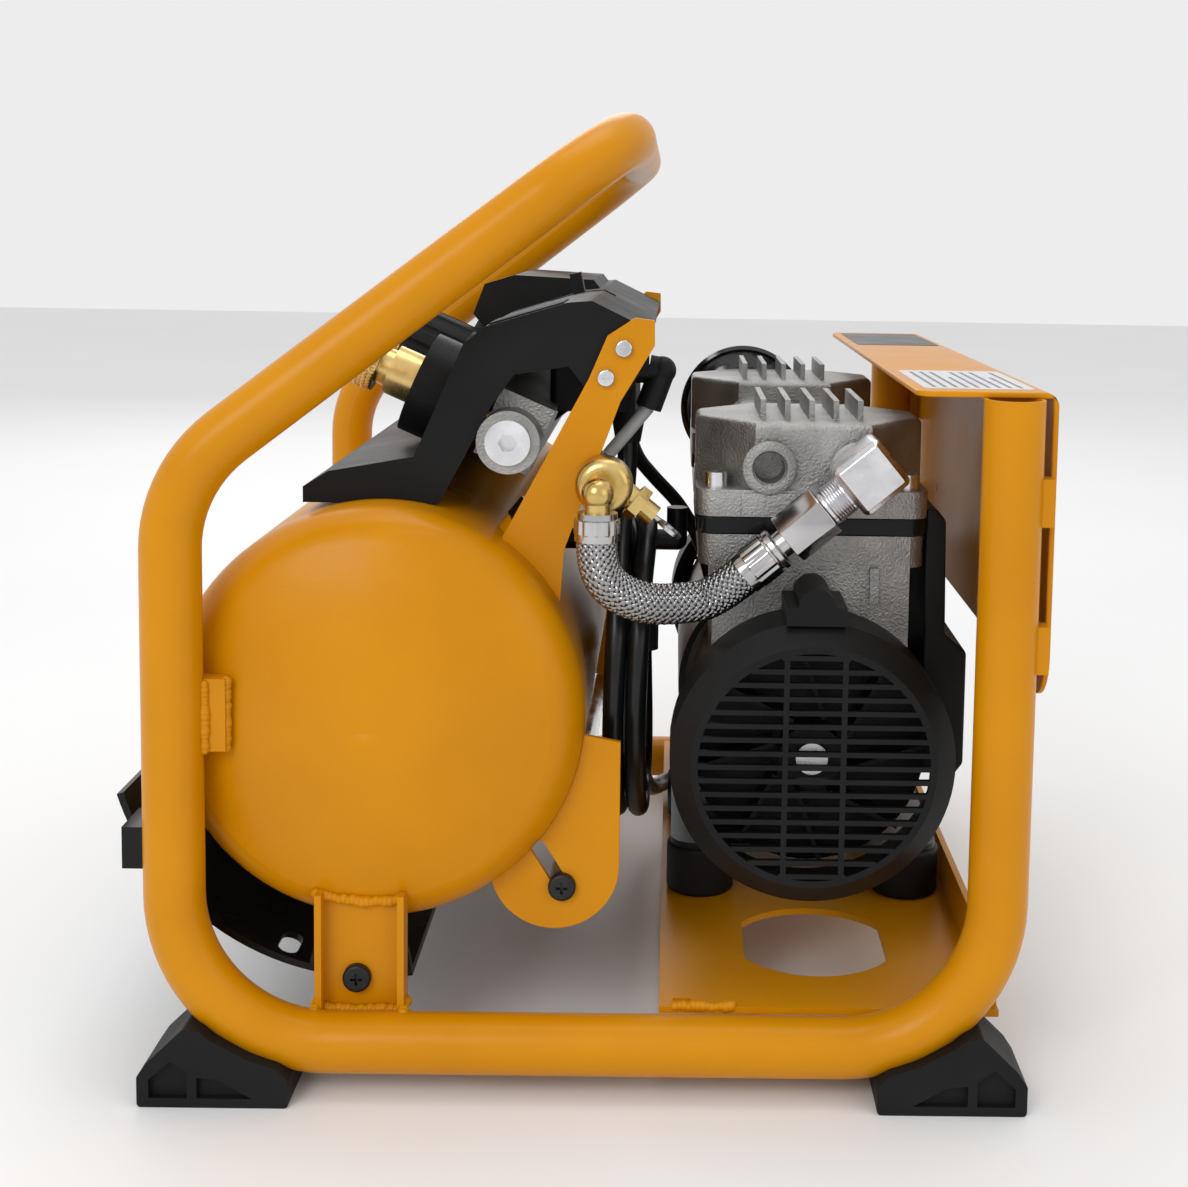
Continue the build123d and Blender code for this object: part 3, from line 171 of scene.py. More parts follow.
# low and high tone, roughness span, scale and depth of the grain, scale of the drift
finishTable = {
    "yellowPaint": (((0.55, 0.215, 0.0004), (0.61, 0.245, 0.0008), (0.26, 0.38), 900, 0.00006, 14),
        {"coat": 0.04, "gloss": 0.16}),
    "blackPaint": (((0.003, 0.003, 0.003), (0.006, 0.006, 0.006), (0.24, 0.36), 800, 0.00006, 14),
        {"coat": 0.05, "gloss": 0.2}),
    "blackPlastic": (((0.004, 0.004, 0.004), (0.008, 0.008, 0.008), (0.38, 0.52), 1500, 0.00014, 20),
        {"gloss": 0.18}),
    "glossBlack": (((0.006, 0.006, 0.007), (0.010, 0.010, 0.011), (0.10, 0.18), 500, 0.00002, 20),
        {"coat": 0.6}),
    "footRubber": (((0.005, 0.005, 0.005), (0.010, 0.010, 0.010), (0.52, 0.68), 1200, 0.00016, 25),
        {"gloss": 0.2}),
    "softRubber": (((0.004, 0.004, 0.004), (0.009, 0.009, 0.009), (0.48, 0.62), 700, 0.00008, 30),
        {"gloss": 0.2}),
    "cordJacket": (((0.003, 0.003, 0.003), (0.007, 0.007, 0.007), (0.24, 0.36), 600, 0.00003, 30),
        {"coat": 0.08, "gloss": 0.3}),
    "castAluminium": (((0.24, 0.235, 0.225), (0.40, 0.395, 0.385), (0.34, 0.50), 900, 0.0006, 45),
        {"metallic": 0.85, "detail": 5.0}),
    "boreAluminium": (((0.60, 0.60, 0.61), (0.72, 0.72, 0.73), (0.22, 0.34), 260, 0.00004, 30),
        {"metallic": 1.0, "stretch": (1, 1, 12)}),
    "zinc": (((0.58, 0.58, 0.60), (0.80, 0.80, 0.82), (0.16, 0.32), 420, 0.00005, 60), {"metallic": 1.0}),
    "brass": (((0.58, 0.40, 0.13), (0.78, 0.58, 0.24), (0.20, 0.34), 500, 0.00005, 55), {"metallic": 1.0}),
    "braidSteel": (((0.26, 0.26, 0.265), (0.38, 0.38, 0.385), (0.18, 0.26), 300, 0.000005, 30),
        {"metallic": 1.0}),
    "crimpSteel": (((0.40, 0.39, 0.39), (0.55, 0.54, 0.54), (0.12, 0.22), 300, 0.00001, 30),
        {"metallic": 1.0}),
    "screwBlack": (((0.012, 0.012, 0.013), (0.030, 0.030, 0.032), (0.30, 0.44), 700, 0.00005, 60),
        {"metallic": 0.6}),
    "shaftSteel": (((0.45, 0.45, 0.47), (0.60, 0.60, 0.62), (0.18, 0.30), 300, 0.00003, 40),
        {"metallic": 1.0, "stretch": (1, 14, 1)}),
    "coreSteel": (((0.20, 0.15, 0.11), (0.32, 0.25, 0.19), (0.40, 0.55), 900, 0.0002, 30),
        {"metallic": 0.8, "stretch": (0.02, 1, 0.02)}),
    "greyTube": (((0.32, 0.33, 0.34), (0.42, 0.43, 0.44), (0.34, 0.44), 500, 0.00003, 30), {}),
    "needleRed": (((0.55, 0.014, 0.008), (0.62, 0.020, 0.012), (0.35, 0.45), 900, 0.00002, 60), {}),
    "dialWhite": (((0.78, 0.78, 0.76), (0.84, 0.84, 0.82), (0.42, 0.52), 900, 0.00001, 40), {}),
    "dialInk": (((0.010, 0.010, 0.011), (0.016, 0.016, 0.017), (0.40, 0.50), 900, 0.00001, 40), {}),
    "labelPaper": (((0.56, 0.56, 0.58), (0.66, 0.66, 0.68), (0.30, 0.42), 900, 0.00003, 50), {}),
    "labelInk": (((0.10, 0.10, 0.105), (0.16, 0.16, 0.165), (0.35, 0.45), 900, 0.00002, 50), {}),
    "labelDark": (((0.022, 0.021, 0.020), (0.040, 0.038, 0.036), (0.34, 0.46), 900, 0.00003, 50), {}),
    "tieFabric": (((0.008, 0.008, 0.008), (0.018, 0.018, 0.018), (0.75, 0.90), 2500, 0.0003, 80), {}),
}
finishes = {name: finishOf(name, *tones, **extra) for name, (tones, extra) in finishTable.items()}


def makeLens():
    mat, tree, bsdf, place = shader("clearLens")
    bsdf.inputs["Base Color"].default_value = (0.96, 0.98, 1.0, 1)
    bsdf.inputs["Transmission Weight"].default_value = 0.96
    bsdf.inputs["IOR"].default_value = 1.45
    tree.links.new(span(tree, noise(tree, place, 60), 0.02, 0.06), bsdf.inputs["Roughness"])
    return mat


finishes["clearLens"] = makeLens()

nodeFinish = {
    "yellowPaint": ["side_frame_left", "side_frame_right", "handle_hoop", "rear_panel", "base_plate",
                    "tank_shell", "tank_brackets", "console_straps"],
    "blackPaint": ["front_guard", "cord_hook", "motor_housing", "valve_plates"],
    "blackPlastic": ["console_shell", "gauge_cases", "pressure_switch", "unloader_elbow", "fan_shrouds",
                     "cooling_fans", "side_covers", "regulator_knob", "switch_lever"],
    "glossBlack": ["air_filter"],
    "footRubber": ["front_feet", "rear_feet"],
    "softRubber": ["rubber_mounts", "strain_reliefs", "power_plug"],
    "cordJacket": ["motor_lead", "power_cord", "cord_coil"],
    "castAluminium": ["manifold", "crankcases", "cylinder_heads"],
    "boreAluminium": ["cylinder_liners", "piston_left", "piston_right", "transfer_tubes"],
    "zinc": ["cord_rest_rod", "console_screws", "head_bolts", "manifold_plugs", "safety_ring",
             "drain_lever", "hose_fittings", "head_elbow"],
    "brass": ["drain_valve", "check_valve", "safety_valve", "coupler_bodies", "coupler_sleeve_left",
              "coupler_sleeve_right"],
    "braidSteel": ["braided_hose"],
    "screwBlack": ["frame_screws"],
    "shaftSteel": ["motor_shaft", "shaft_bearings"],
    "coreSteel": ["stator"],
    "greyTube": ["unloader_tube"],
    "needleRed": ["tank_needle", "outlet_needle"],
    "clearLens": ["gauge_glasses"],
}
for finish, nodes in nodeFinish.items():
    for node in nodes:
        cadMesh = frame["nodes"][node].data
        cadMesh.materials.clear()
        cadMesh.materials.append(finishes[finish])
print("finishes set on", sum(len(n) for n in nodeFinish.values()), "nodes")


def addPiece(name, mesh, finish, body="compressor", stands=(), smooth=40):
    if finish:
        mesh.materials.clear()
        mesh.materials.append(finishes[finish])
    obj = bpy.data.objects.new(name, mesh)
    bpy.context.scene.collection.objects.link(obj)
    if smooth:
        mesh.polygons.foreach_set("use_smooth", [True] * len(mesh.polygons))
        mesh.set_sharp_from_angle(angle=radians(smooth))
    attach(obj, body)
    if stands:
        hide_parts(*stands)
    return obj


def meshFrom(bm, name):
    bmesh.ops.recalc_face_normals(bm, faces=bm.faces)
    mesh = bpy.data.meshes.new(name)
    bm.to_mesh(mesh)
    bm.free()
    return mesh


def joined(name, meshes):
    # several meshes made one
    bm = bmesh.new()
    for part in meshes:
        bm.from_mesh(part)
        bpy.data.meshes.remove(part)
    mesh = bpy.data.meshes.new(name)
    bm.to_mesh(mesh)
    bm.free()
    return mesh


def vertsOf(made):
    return [v for v in made if isinstance(v, bmesh.types.BMVert)]


def bentMesh(name, curve):
    # a curve's evaluated mesh, then the curve is dropped
    obj = bpy.data.objects.new(name, curve)
    bpy.context.scene.collection.objects.link(obj)
    bpy.context.view_layer.update()
    mesh = bpy.data.meshes.new_from_object(obj.evaluated_get(bpy.context.evaluated_depsgraph_get()))
    bpy.data.objects.remove(obj)
    return mesh


def nurbs(name, points, radius, sides=6):
    curve = bpy.data.curves.new(name, "CURVE")
    curve.dimensions = "3D"
    curve.bevel_depth, curve.bevel_resolution = radius, sides
    curve.resolution_u = 8
    curve.use_fill_caps = radius > 0
    spline = curve.splines.new("NURBS")
    spline.points.add(len(points) - 1)
    for point, place in zip(spline.points, points):
        point.co = (*place, 1)
    spline.order_u = 3
    spline.use_endpoint_u = True
    return curve


def rounded(node, width):
    # a copy of a CAD piece with its sharp edges rounded over, as castings and deburred sheet have
    mesh = frame["nodes"][node].data.copy()
    bm = bmesh.new()
    bm.from_mesh(mesh)
    bmesh.ops.remove_doubles(bm, verts=bm.verts, dist=0.00001)
    bmesh.ops.dissolve_limit(bm, angle_limit=radians(0.6), verts=bm.verts, edges=bm.edges)
    sharp = [e for e in bm.edges if len(e.link_faces) == 2 and e.calc_face_angle(0) > radians(32)]
    bmesh.ops.bevel(bm, geom=sharp, offset=width, offset_type="OFFSET", segments=2, profile=0.5,
                    affect="EDGES", clamp_overlap=True, material=-1, loop_slide=True)
    bmesh.ops.triangulate(bm, faces=[f for f in bm.faces if len(f.verts) > 4])
    for face in bm.faces:
        face.smooth = True
    bm.to_mesh(mesh)
    bm.free()
    finish = next(f for f, nodes in nodeFinish.items() if node in nodes)
    body = next(b for b, nodes in frame["record"]["behaviour"]["bodies"].items() if node in nodes)
    obj = addPiece(node + "_rounded", mesh, finish, body, (node,), 0)
    weighted = obj.modifiers.new("evenShading", "WEIGHTED_NORMAL")
    weighted.weight, weighted.keep_sharp = 50, True
    return obj


# four strands to the bundle; angles in degrees
cord = {"diameter": 0.0095, "coilRadius": 0.0703, "gap": 0.0101, "start": 50, "sweep": 1208, "step": 24,
        "swapFrom": 300, "sway": (0.0013, 0.0009), "length": 1.80}


def slotTurn(t):
    # the four places of the bundle are swapped a quarter turn at a time, once a turn
    whole, part = divmod(t - cord["start"], 360)
    change = max(0.0, (part - cord["swapFrom"]) / (360 - cord["swapFrom"]))
    return 135 + 90 * (whole + change * change * (3 - 2 * change))


coilLow, coilHigh = (Vector(c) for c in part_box("cord_coil"))
coilMid = (coilLow + coilHigh) / 2


def coilPoint(t):
    place = radians(slotTurn(t))
    reach = cord["gap"] / sqrt(2)
    across = reach * cos(place) + cord["sway"][0] * sin(radians(2 * t + 40))
    radius = cord["coilRadius"] + reach * sin(place) + cord["sway"][1] * sin(radians(3 * t))
    return coilMid + Vector((across, -radius * sin(radians(t)), radius * cos(radians(t))))


cordPoints = [
    at(0.186, -0.092, 0.262), at(0.186, -0.092, 0.243), at(0.1855, -0.0965, 0.228),
    at(0.1845, -0.108, 0.2145), at(0.1838, -0.121, 0.2005),
]
coilAngles = range(cord["start"] + 4, cord["start"] + cord["sweep"], cord["step"])
cordPoints += [coilPoint(t) for t in coilAngles]
cordPoints += [
    at(0.1938, -0.055, 0.0685), at(0.1942, -0.032, 0.0625), at(0.195, 0, 0.050), at(0.196, 0.034, 0.035),
    at(0.200, 0.068, 0.023), at(0.213, 0.092, 0.0231), at(0.222, 0.112, 0.0266), at(0.222, 0.132, 0.0266),
]
cordCurve = nurbs("powerCord", cordPoints, cord["diameter"] / 2)
cordCurve.materials.append(finishes["cordJacket"])
powerCord = bpy.data.objects.new("powerCord", cordCurve)
bpy.context.scene.collection.objects.link(powerCord)
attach(powerCord, "compressor")
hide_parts("power_cord", "cord_coil")


# a hook-and-loop strap round the bundle, on the side away from the boots
tie = {"angle": 262, "radius": 0.0116, "square": 0.35, "width": 0.014, "thick": 0.0012}


def makeTie():
    t = radians(tie["angle"])
    out = Vector((0, -sin(t), cos(t)))
    along = Vector((0, -cos(t), -sin(t)))
    bm = bmesh.new()
    bmesh.ops.create_circle(bm, segments=32, radius=tie["radius"])
    for vert in bm.verts:
        # a rounded square, since four strands fill it
        angle = atan2(vert.co.y, vert.co.x)
        vert.co *= 1 / max(abs(cos(angle)), abs(sin(angle))) ** tie["square"]
    wall = bmesh.ops.extrude_edge_only(bm, edges=bm.edges[:])["geom"]
    bmesh.ops.translate(bm, verts=vertsOf(wall), vec=(0, 0, tie["width"]))
    bmesh.ops.recalc_face_normals(bm, faces=bm.faces)
    bmesh.ops.solidify(bm, geom=bm.faces, thickness=-tie["thick"])
    place = Matrix((Vector((1, 0, 0)), out, along)).transposed().to_4x4()
    place.translation = coilMid + out * cord["coilRadius"] - along * tie["width"] / 2
    bmesh.ops.transform(bm, matrix=place, verts=bm.verts)
    return addPiece("cordTie", meshFrom(bm, "cordTie"), "tieFabric")


cordTie = makeTie()
plug = rounded("power_plug", 0.0006)
print("power cord laid,", len(cordPoints), "points")

# each carrier is a flat band; the two hands of bands go over and under each other in turn
hose = {"radius": 0.0083, "perHand": 16, "pitch": 0.050, "rise": 0.00034, "crown": 0.00042,
        "halfWidth": 0.138, "across": 5, "core": 0.0080}
hoseStart = at(0.1755, -0.178, 0.214)
elbowMid = at(0.293, -0.163, 0.242)
hoseDir = Vector((cos(radians(220)), 0, sin(radians(220))))


def followLine(points):
    curve = nurbs("hoseLine", points, 0)
    curve.resolution_u = 36
    mesh = bentMesh("hoseLine", curve)
    line = [v.co.copy() for v in mesh.vertices]
    bpy.data.meshes.remove(mesh)
    return line


def sweepFrames(line):
    # (place, side, up, distance) along a line, with no twist
    frames, reach = [], 0.0
    side = None
    for k, place in enumerate(line):
        ahead = (line[min(k + 1, len(line) - 1)] - line[max(k - 1, 0)]).normalized()
        if side is None:
            side = ahead.orthogonal().normalized()
        side = (side - ahead * side.dot(ahead)).normalized()
        if k:
            reach += (place - line[k - 1]).length
        frames.append((place, side, ahead.cross(side), reach))
    return frames


def bandPoint(hand, carrier, frame, off):
    # off runs from -1 to 1 across the band
    place, side, up, reach = frame
    twist = 2 * pi * reach / hose["pitch"]
    spread = off * hose["halfWidth"]
    angle = hand * twist + 2 * pi * carrier / hose["perHand"] + spread
    weave = hand * hose["rise"] * cos(hose["perHand"] * (twist + hand * spread / 2))
    radius = hose["radius"] + weave + hose["crown"] * (1 - off * off)
    return place + side * radius * cos(angle) + up * radius * sin(angle)


def makeHose():
    points = [hoseStart]
    points += [at(x, y, z) for x, y, z in ((0.1755, -0.178, 0.202), (0.183, -0.175, 0.191),
                                           (0.197, -0.170, 0.1845), (0.214, -0.166, 0.1845))]
    points += [elbowMid + hoseDir * 0.087, elbowMid + hoseDir * 0.070]
    frames = sweepFrames(followLine(points))
    bm = bmesh.new()
    for hand in (1, -1):
        for carrier in range(hose["perHand"]):
            band = bmesh.ops.create_grid(bm, x_segments=hose["across"] - 1, y_segments=len(frames) - 1,
                                         size=1)["verts"]
            for n, vert in enumerate(band):
                row, k = divmod(n, hose["across"])
                vert.co = bandPoint(hand, carrier, frames[row], 2 * k / (hose["across"] - 1) - 1)
    mesh = bpy.data.meshes.new("braidedHose")  # its bands face outwards as they are
    bm.to_mesh(mesh)
    bm.free()
    core = bentMesh("hoseCore", nurbs("hoseCore", points, hose["core"], 8))
    addPiece("hoseCore", core, "screwBlack")
    addPiece("braidedHose", mesh, "braidSteel", stands=("braided_hose",), smooth=80)


makeHose()
print("hose braided")

crimp = {"flutes": 14, "depth": 0.0006, "around": 112, "fluteFrom": 0.0100}
nut = {"radius": 0.0121, "depth": 0.0217, "along": 0.03515, "edge": 0.0008}
thread = {"start": 0.0140, "pitch": 0.0013, "turns": 7, "crest": 0.0094, "root": 0.0084, "bore": 0.0080}
upperEnd = [  # distance along the fitting, radius: neck, ring, crimp with a step, open end
    (0.0457, 0.0062), (0.0500, 0.0062), (0.0502, 0.0086), (0.0512, 0.0098), (0.0532, 0.0098),
    (0.0542, 0.0086), (0.0548, 0.0086), (0.0552, 0.0101), (0.0655, 0.0101), (0.0660, 0.0096),
    (0.0700, 0.0096), (0.0702, 0.0080),
]
lowerEnd = [
    (-0.0002, 0.0080), (0.0, 0.0096), (0.0030, 0.0096), (0.0034, 0.0101), (0.0092, 0.0101),
    (0.0096, 0.0088), (0.0120, 0.0086), (0.0121, 0.0050),
]


def spun(profile, steps):
    # a profile of (distance, radius) turned about Z, closed at both ends
    bm = bmesh.new()
    verts = [bm.verts.new((radius, 0, z)) for z, radius in profile]
    chain = [bm.edges.new(pair) for pair in zip(verts, verts[1:])]
    bmesh.ops.spin(bm, geom=verts + chain, cent=(0, 0, 0), axis=(0, 0, 1), angle=2 * pi, steps=steps,
                   use_merge=True, use_duplicate=False)
    bmesh.ops.remove_doubles(bm, verts=bm.verts, dist=0.000001)
    bmesh.ops.holes_fill(bm, edges=[e for e in bm.edges if e.is_boundary], sides=0)
    return bm


def softened(bm, edges, width, segments):
    bmesh.ops.bevel(bm, geom=edges, offset=width, offset_type="OFFSET", segments=segments, profile=0.5,
                    affect="EDGES", clamp_overlap=True, material=-1)


def block(bm, size, middle=(0, 0, 0)):
    made = bmesh.ops.create_cube(bm, size=1)["verts"]
    bmesh.ops.scale(bm, verts=made, vec=size)
    bmesh.ops.translate(bm, verts=made, vec=middle)
    return made


def standOn(bm, place, along):
    turn = along.to_track_quat("Z", "Y").to_matrix().to_4x4()
    turn.translation = place
    bmesh.ops.transform(bm, matrix=turn, verts=bm.verts)


def crimpedEnd(profile, place, along):
    bm = spun(profile, crimp["around"])
    for vert in bm.verts:
        radial = Vector((vert.co.x, vert.co.y, 0))
        if radial.length > crimp["fluteFrom"]:
            angle = atan2(vert.co.y, vert.co.x)
            flute = (0.5 + 0.5 * cos(crimp["flutes"] * angle)) ** 2
            vert.co -= radial.normalized() * crimp["depth"] * flute
    standOn(bm, place, along)
    return meshFrom(bm, "hoseEnd")


def makeNut():
    bm = bmesh.new()
    bmesh.ops.create_cone(bm, cap_ends=True, segments=6, radius1=nut["radius"], radius2=nut["radius"],
                          depth=nut["depth"])
    softened(bm, bm.edges[:], nut["edge"], 2)
    standOn(bm, elbowMid + hoseDir * nut["along"], hoseDir)
    return meshFrom(bm, "hoseNut")


def makeThread():
    profile = [(thread["start"] - 0.0005, thread["bore"])]
    for k in range(thread["turns"]):
        along = thread["start"] + thread["pitch"] * k
        profile += [(along, thread["crest"]), (along + thread["pitch"] / 2, thread["root"])]
    profile += [(thread["start"] + 0.0096, thread["bore"])]
    bm = spun(profile, 40)
    standOn(bm, elbowMid, hoseDir)
    return meshFrom(bm, "elbowThread")


def makeHoseEnds():
    ends = [crimpedEnd(upperEnd, elbowMid, hoseDir), crimpedEnd(lowerEnd, hoseStart, Vector((0, 0, 1)))]
    mesh = joined("hoseEnds", ends + [makeNut()])
    addPiece("hoseEnds", mesh, "crimpSteel", stands=("hose_fittings",), smooth=30)
    addPiece("elbowThread", makeThread(), "zinc")


makeHoseEnds()
print("hose ends crimped")

weld = {"bead": 0.0024, "step": 0.0019, "uneven": (0.85, 1.15), "waver": 0.0004, "tankRing": 0.0785,
        "seed": 7}


def weldRuns(side):
    # saddle under the tank, both ends of its bracket, the lug on the upright, and the base plate
    tankMid = (tankLow + tankHigh) / 2
    saddle = []
    for dx in range(-23, 17, 2):
        drop = sqrt(weld["tankRing"] ** 2 - (dx / 1000) ** 2)
        saddle.append(Vector((tankMid.x + dx / 1000, side * 0.1885, tankMid.z - drop)))
    runs = [saddle]
    for x in (0.0576, 0.0958):
        runs.append([at(x, side * (0.189 + k * 0.0016), 0.0135 - k * 0.0004) for k in range(7)])
    runs.append([at(0.0576 + k * 0.0019, side * 0.1895, 0.0095) for k in range(21)])
    runs.append([at(0.0132, side * 0.2005, 0.127 + k * 0.002) for k in range(16)])
    runs.append([at(0.0215, side * 0.1965, 0.127 + k * 0.002) for k in range(16)])
    runs.append([at(0.212 + k * 0.002, side * 0.1895, 0.0125) for k in range(14)])
    return runs


def makeWelds():
    rng = random.Random(weld["seed"])
    bm = bmesh.new()
    for run in weldRuns(-1) + weldRuns(1):
        for here, there in zip(run, run[1:]):
            steps = max(1, round((there - here).length / weld["step"]))
            for n in range(steps):
                place = here.lerp(there, n / steps)
                bead = weld["bead"] * rng.uniform(*weld["uneven"])
                made = bmesh.ops.create_icosphere(bm, subdivisions=2, radius=bead)["verts"]
                place.z += rng.uniform(-weld["waver"], weld["waver"])
                bmesh.ops.translate(bm, verts=made, vec=place)
    addPiece("weldBeads", meshFrom(bm, "weldBeads"), "yellowPaint", smooth=80)


makeWelds()
print("welds laid")

boss = {"outer": 0.0122, "inner": 0.0072, "stand": 0.0022, "apart": 0.039, "foot": 0.0105}
headLow, headHigh = (Vector(c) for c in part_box("cylinder_heads"))
portZ = headLow.z + 0.022


def makePortBosses():
    profile = [
        (0, boss["inner"]), (0, boss["outer"]), (boss["stand"] * 0.6, boss["outer"]),
        (boss["stand"], boss["outer"] - 0.0012), (boss["stand"], boss["inner"] + 0.0008),
        (boss["stand"] * 0.6, boss["inner"]), (0, boss["inner"]),
    ]
    bm = bmesh.new()
    for side, faceY in ((-1, headLow.y), (1, headHigh.y)):
        for shift in (-boss["apart"] / 2, boss["apart"] / 2):
            ring = spun(profile, 48)
            standOn(ring, Vector((shaftMid.x + shift, faceY, portZ)), Vector((0, side, 0)))
            part = meshFrom(ring, "portBoss")
            bm.from_mesh(part)
            bpy.data.meshes.remove(part)
            block(bm, (2 * boss["outer"], boss["stand"] * 1.2, boss["foot"]),
                  (shaftMid.x + shift, faceY, headLow.z + 0.0055))
    mesh = bpy.data.meshes.new("portBosses")
    bm.to_mesh(mesh)
    bm.free()
    addPiece("portBosses", mesh, "castAluminium")


makePortBosses()
print("bosses cast")

filterCup = [  # distance along the axis from the inner end, radius
    (0.000, 0.0), (0.000, 0.0150), (0.0014, 0.0165), (0.0014, 0.0205), (0.0004, 0.0220), (0.0004, 0.0262),
    (0.0016, 0.0280), (0.0016, 0.0345), (0.0000, 0.0362), (0.0006, 0.0384), (0.0074, 0.0384),
    (0.0080, 0.0362), (0.0086, 0.0356), (0.0230, 0.0348), (0.0262, 0.0325), (0.0270, 0.0290),
    (0.0256, 0.0268), (0.0256, 0.0120), (0.0268, 0.0105), (0.0268, 0.0),
]
filterNeck = [(0, 0.0), (0, 0.0068), (0.0100, 0.0068), (0.0102, 0.0110), (0.0150, 0.0110), (0.0150, 0.0)]


def makeFilter():
    low, high = (Vector(c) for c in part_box("air_filter"))
    outward = Vector((0, 1, 0))
    reach = max(along for along, radius in filterCup)
    cup = spun(filterCup, 96)
    standOn(cup, Vector(((low.x + high.x) / 2, high.y - reach, (low.z + high.z) / 2)), outward)
    neck = spun(filterNeck, 40)
    standOn(neck, Vector((shaftMid.x - boss["apart"] / 2, high.y - 0.042, portZ)), outward)
    mesh = joined("airFilter", [meshFrom(cup, "filterCup"), meshFrom(neck, "filterNeck")])
    addPiece("airFilterCup", mesh, "glossBlack", stands=("air_filter",), smooth=35)


makeFilter()
print("filter turned")

ribs = {"count": 9, "pitch": 0.0042, "wide": 0.0019, "tall": 0.0016, "outermost": 0.1445, "edge": 0.0004,
        "start": (0.1255, 0.3035), "end": (0.1585, 0.3135)}


def makeRibs():
    bm = bmesh.new()
    start, end = at(ribs["start"][0], 0, ribs["start"][1]), at(ribs["end"][0], 0, ribs["end"][1])
    run = end - start
    slope = Matrix.Rotation(-atan2(run.z, run.x), 3, "Y")
    for side in (-1, 1):
        for k in range(ribs["count"]):
            made = block(bm, (run.length, ribs["wide"], ribs["tall"]))
            bmesh.ops.rotate(bm, verts=made, matrix=slope)
            spot = (start + end) / 2
            spot.y = side * (ribs["outermost"] - k * ribs["pitch"])
            bmesh.ops.translate(bm, verts=made, vec=spot)
    softened(bm, bm.edges[:], ribs["edge"], 2)
    addPiece("consoleRibs", meshFrom(bm, "consoleRibs"), "blackPlastic")


makeRibs()
print("console ribs set")

sleeve = {"radius": 0.0140, "bore": 0.00905, "low": 0.0363, "high": 0.054, "around": 120, "along": 26,
          "knurl": 0.00055, "crests": 20, "lead": 0.0040, "edge": 0.0012, "roll": 0.55}


def sleeveWall():
    # a wall of even rings, turned in to the bore at both ends, with the bore run through
    length = sleeve["high"] - sleeve["low"]
    step = length / sleeve["along"]
    bm = bmesh.new()
    bmesh.ops.create_circle(bm, segments=sleeve["around"], radius=sleeve["radius"])
    ring = bm.edges[:]
    for _ in range(sleeve["along"]):
        made = bmesh.ops.extrude_edge_only(bm, edges=ring)["geom"]
        bmesh.ops.translate(bm, verts=vertsOf(made), vec=(0, 0, step))
        ring = [e for e in made if isinstance(e, bmesh.types.BMEdge)]
        ring = [e for e in ring if abs(e.verts[0].co.z - e.verts[1].co.z) < 1e-6]
    for endZ in (0.0, length):
        rim = [e for e in bm.edges if e.is_boundary and all(abs(v.co.z - endZ) < 1e-6 for v in e.verts)]
        made = bmesh.ops.extrude_edge_only(bm, edges=rim)["geom"]
        turnIn = sleeve["bore"] / sleeve["radius"]
        bmesh.ops.scale(bm, verts=vertsOf(made), vec=(turnIn, turnIn, 1))
    bmesh.ops.bridge_loops(bm, edges=[e for e in bm.edges if e.is_boundary])
    return bm, length


def makeSleeve(side):
    bm, length = sleeveWall()
    for vert in bm.verts:
        radial = Vector((vert.co.x, vert.co.y, 0))
        if radial.length < sleeve["radius"] - 0.0005:
            continue
        inset = min(vert.co.z, length - vert.co.z)
        if inset < sleeve["edge"]:
            cut = (sleeve["edge"] - inset) * sleeve["roll"]
        else:
            angle = sleeve["crests"] * atan2(vert.co.y, vert.co.x)
            rows = pi * vert.co.z / sleeve["lead"]
            cut = sleeve["knurl"] * (1 - abs(sin(angle + rows)) * abs(sin(angle - rows)))
        vert.co -= radial.normalized() * cut
    mouth = Vector(mounts["coupler_outlet_" + side]["pos_m"]) - faceDir * 0.050
    standOn(bm, mouth + faceDir * sleeve["low"], faceDir)
    node = "coupler_sleeve_" + side
    addPiece("knurledSleeve_" + side, meshFrom(bm, node), "brass", "sleeve_" + side,
             (node,), 60)


for side in ("right", "left"):
    makeSleeve(side)
print("sleeves knurled")

dial = {"radius": 0.0157, "thick": 0.0003, "lift": 0.0022, "ticks": 21, "from": 225, "sweep": 270,
        "tickReach": 0.0140, "long": (0.0030, 0.00055), "short": (0.0017, 0.0003), "print": 0.00008,
        "figureSize": 0.0036, "figureReach": 0.0088}


def dialPlace(joint):
    # x to the reader's right, y up the slope, z out of the face
    mid = Vector(joints[joint]["pos_m"]) - faceDir * 0.003
    place = Matrix((Vector((0, -1, 0)), faceUp, faceDir)).transposed().to_4x4()
    place.translation = mid + faceDir * dial["lift"]
    return place


def dialAngle(k, count):
    return radians(dial["from"] - dial["sweep"] * k / (count - 1))


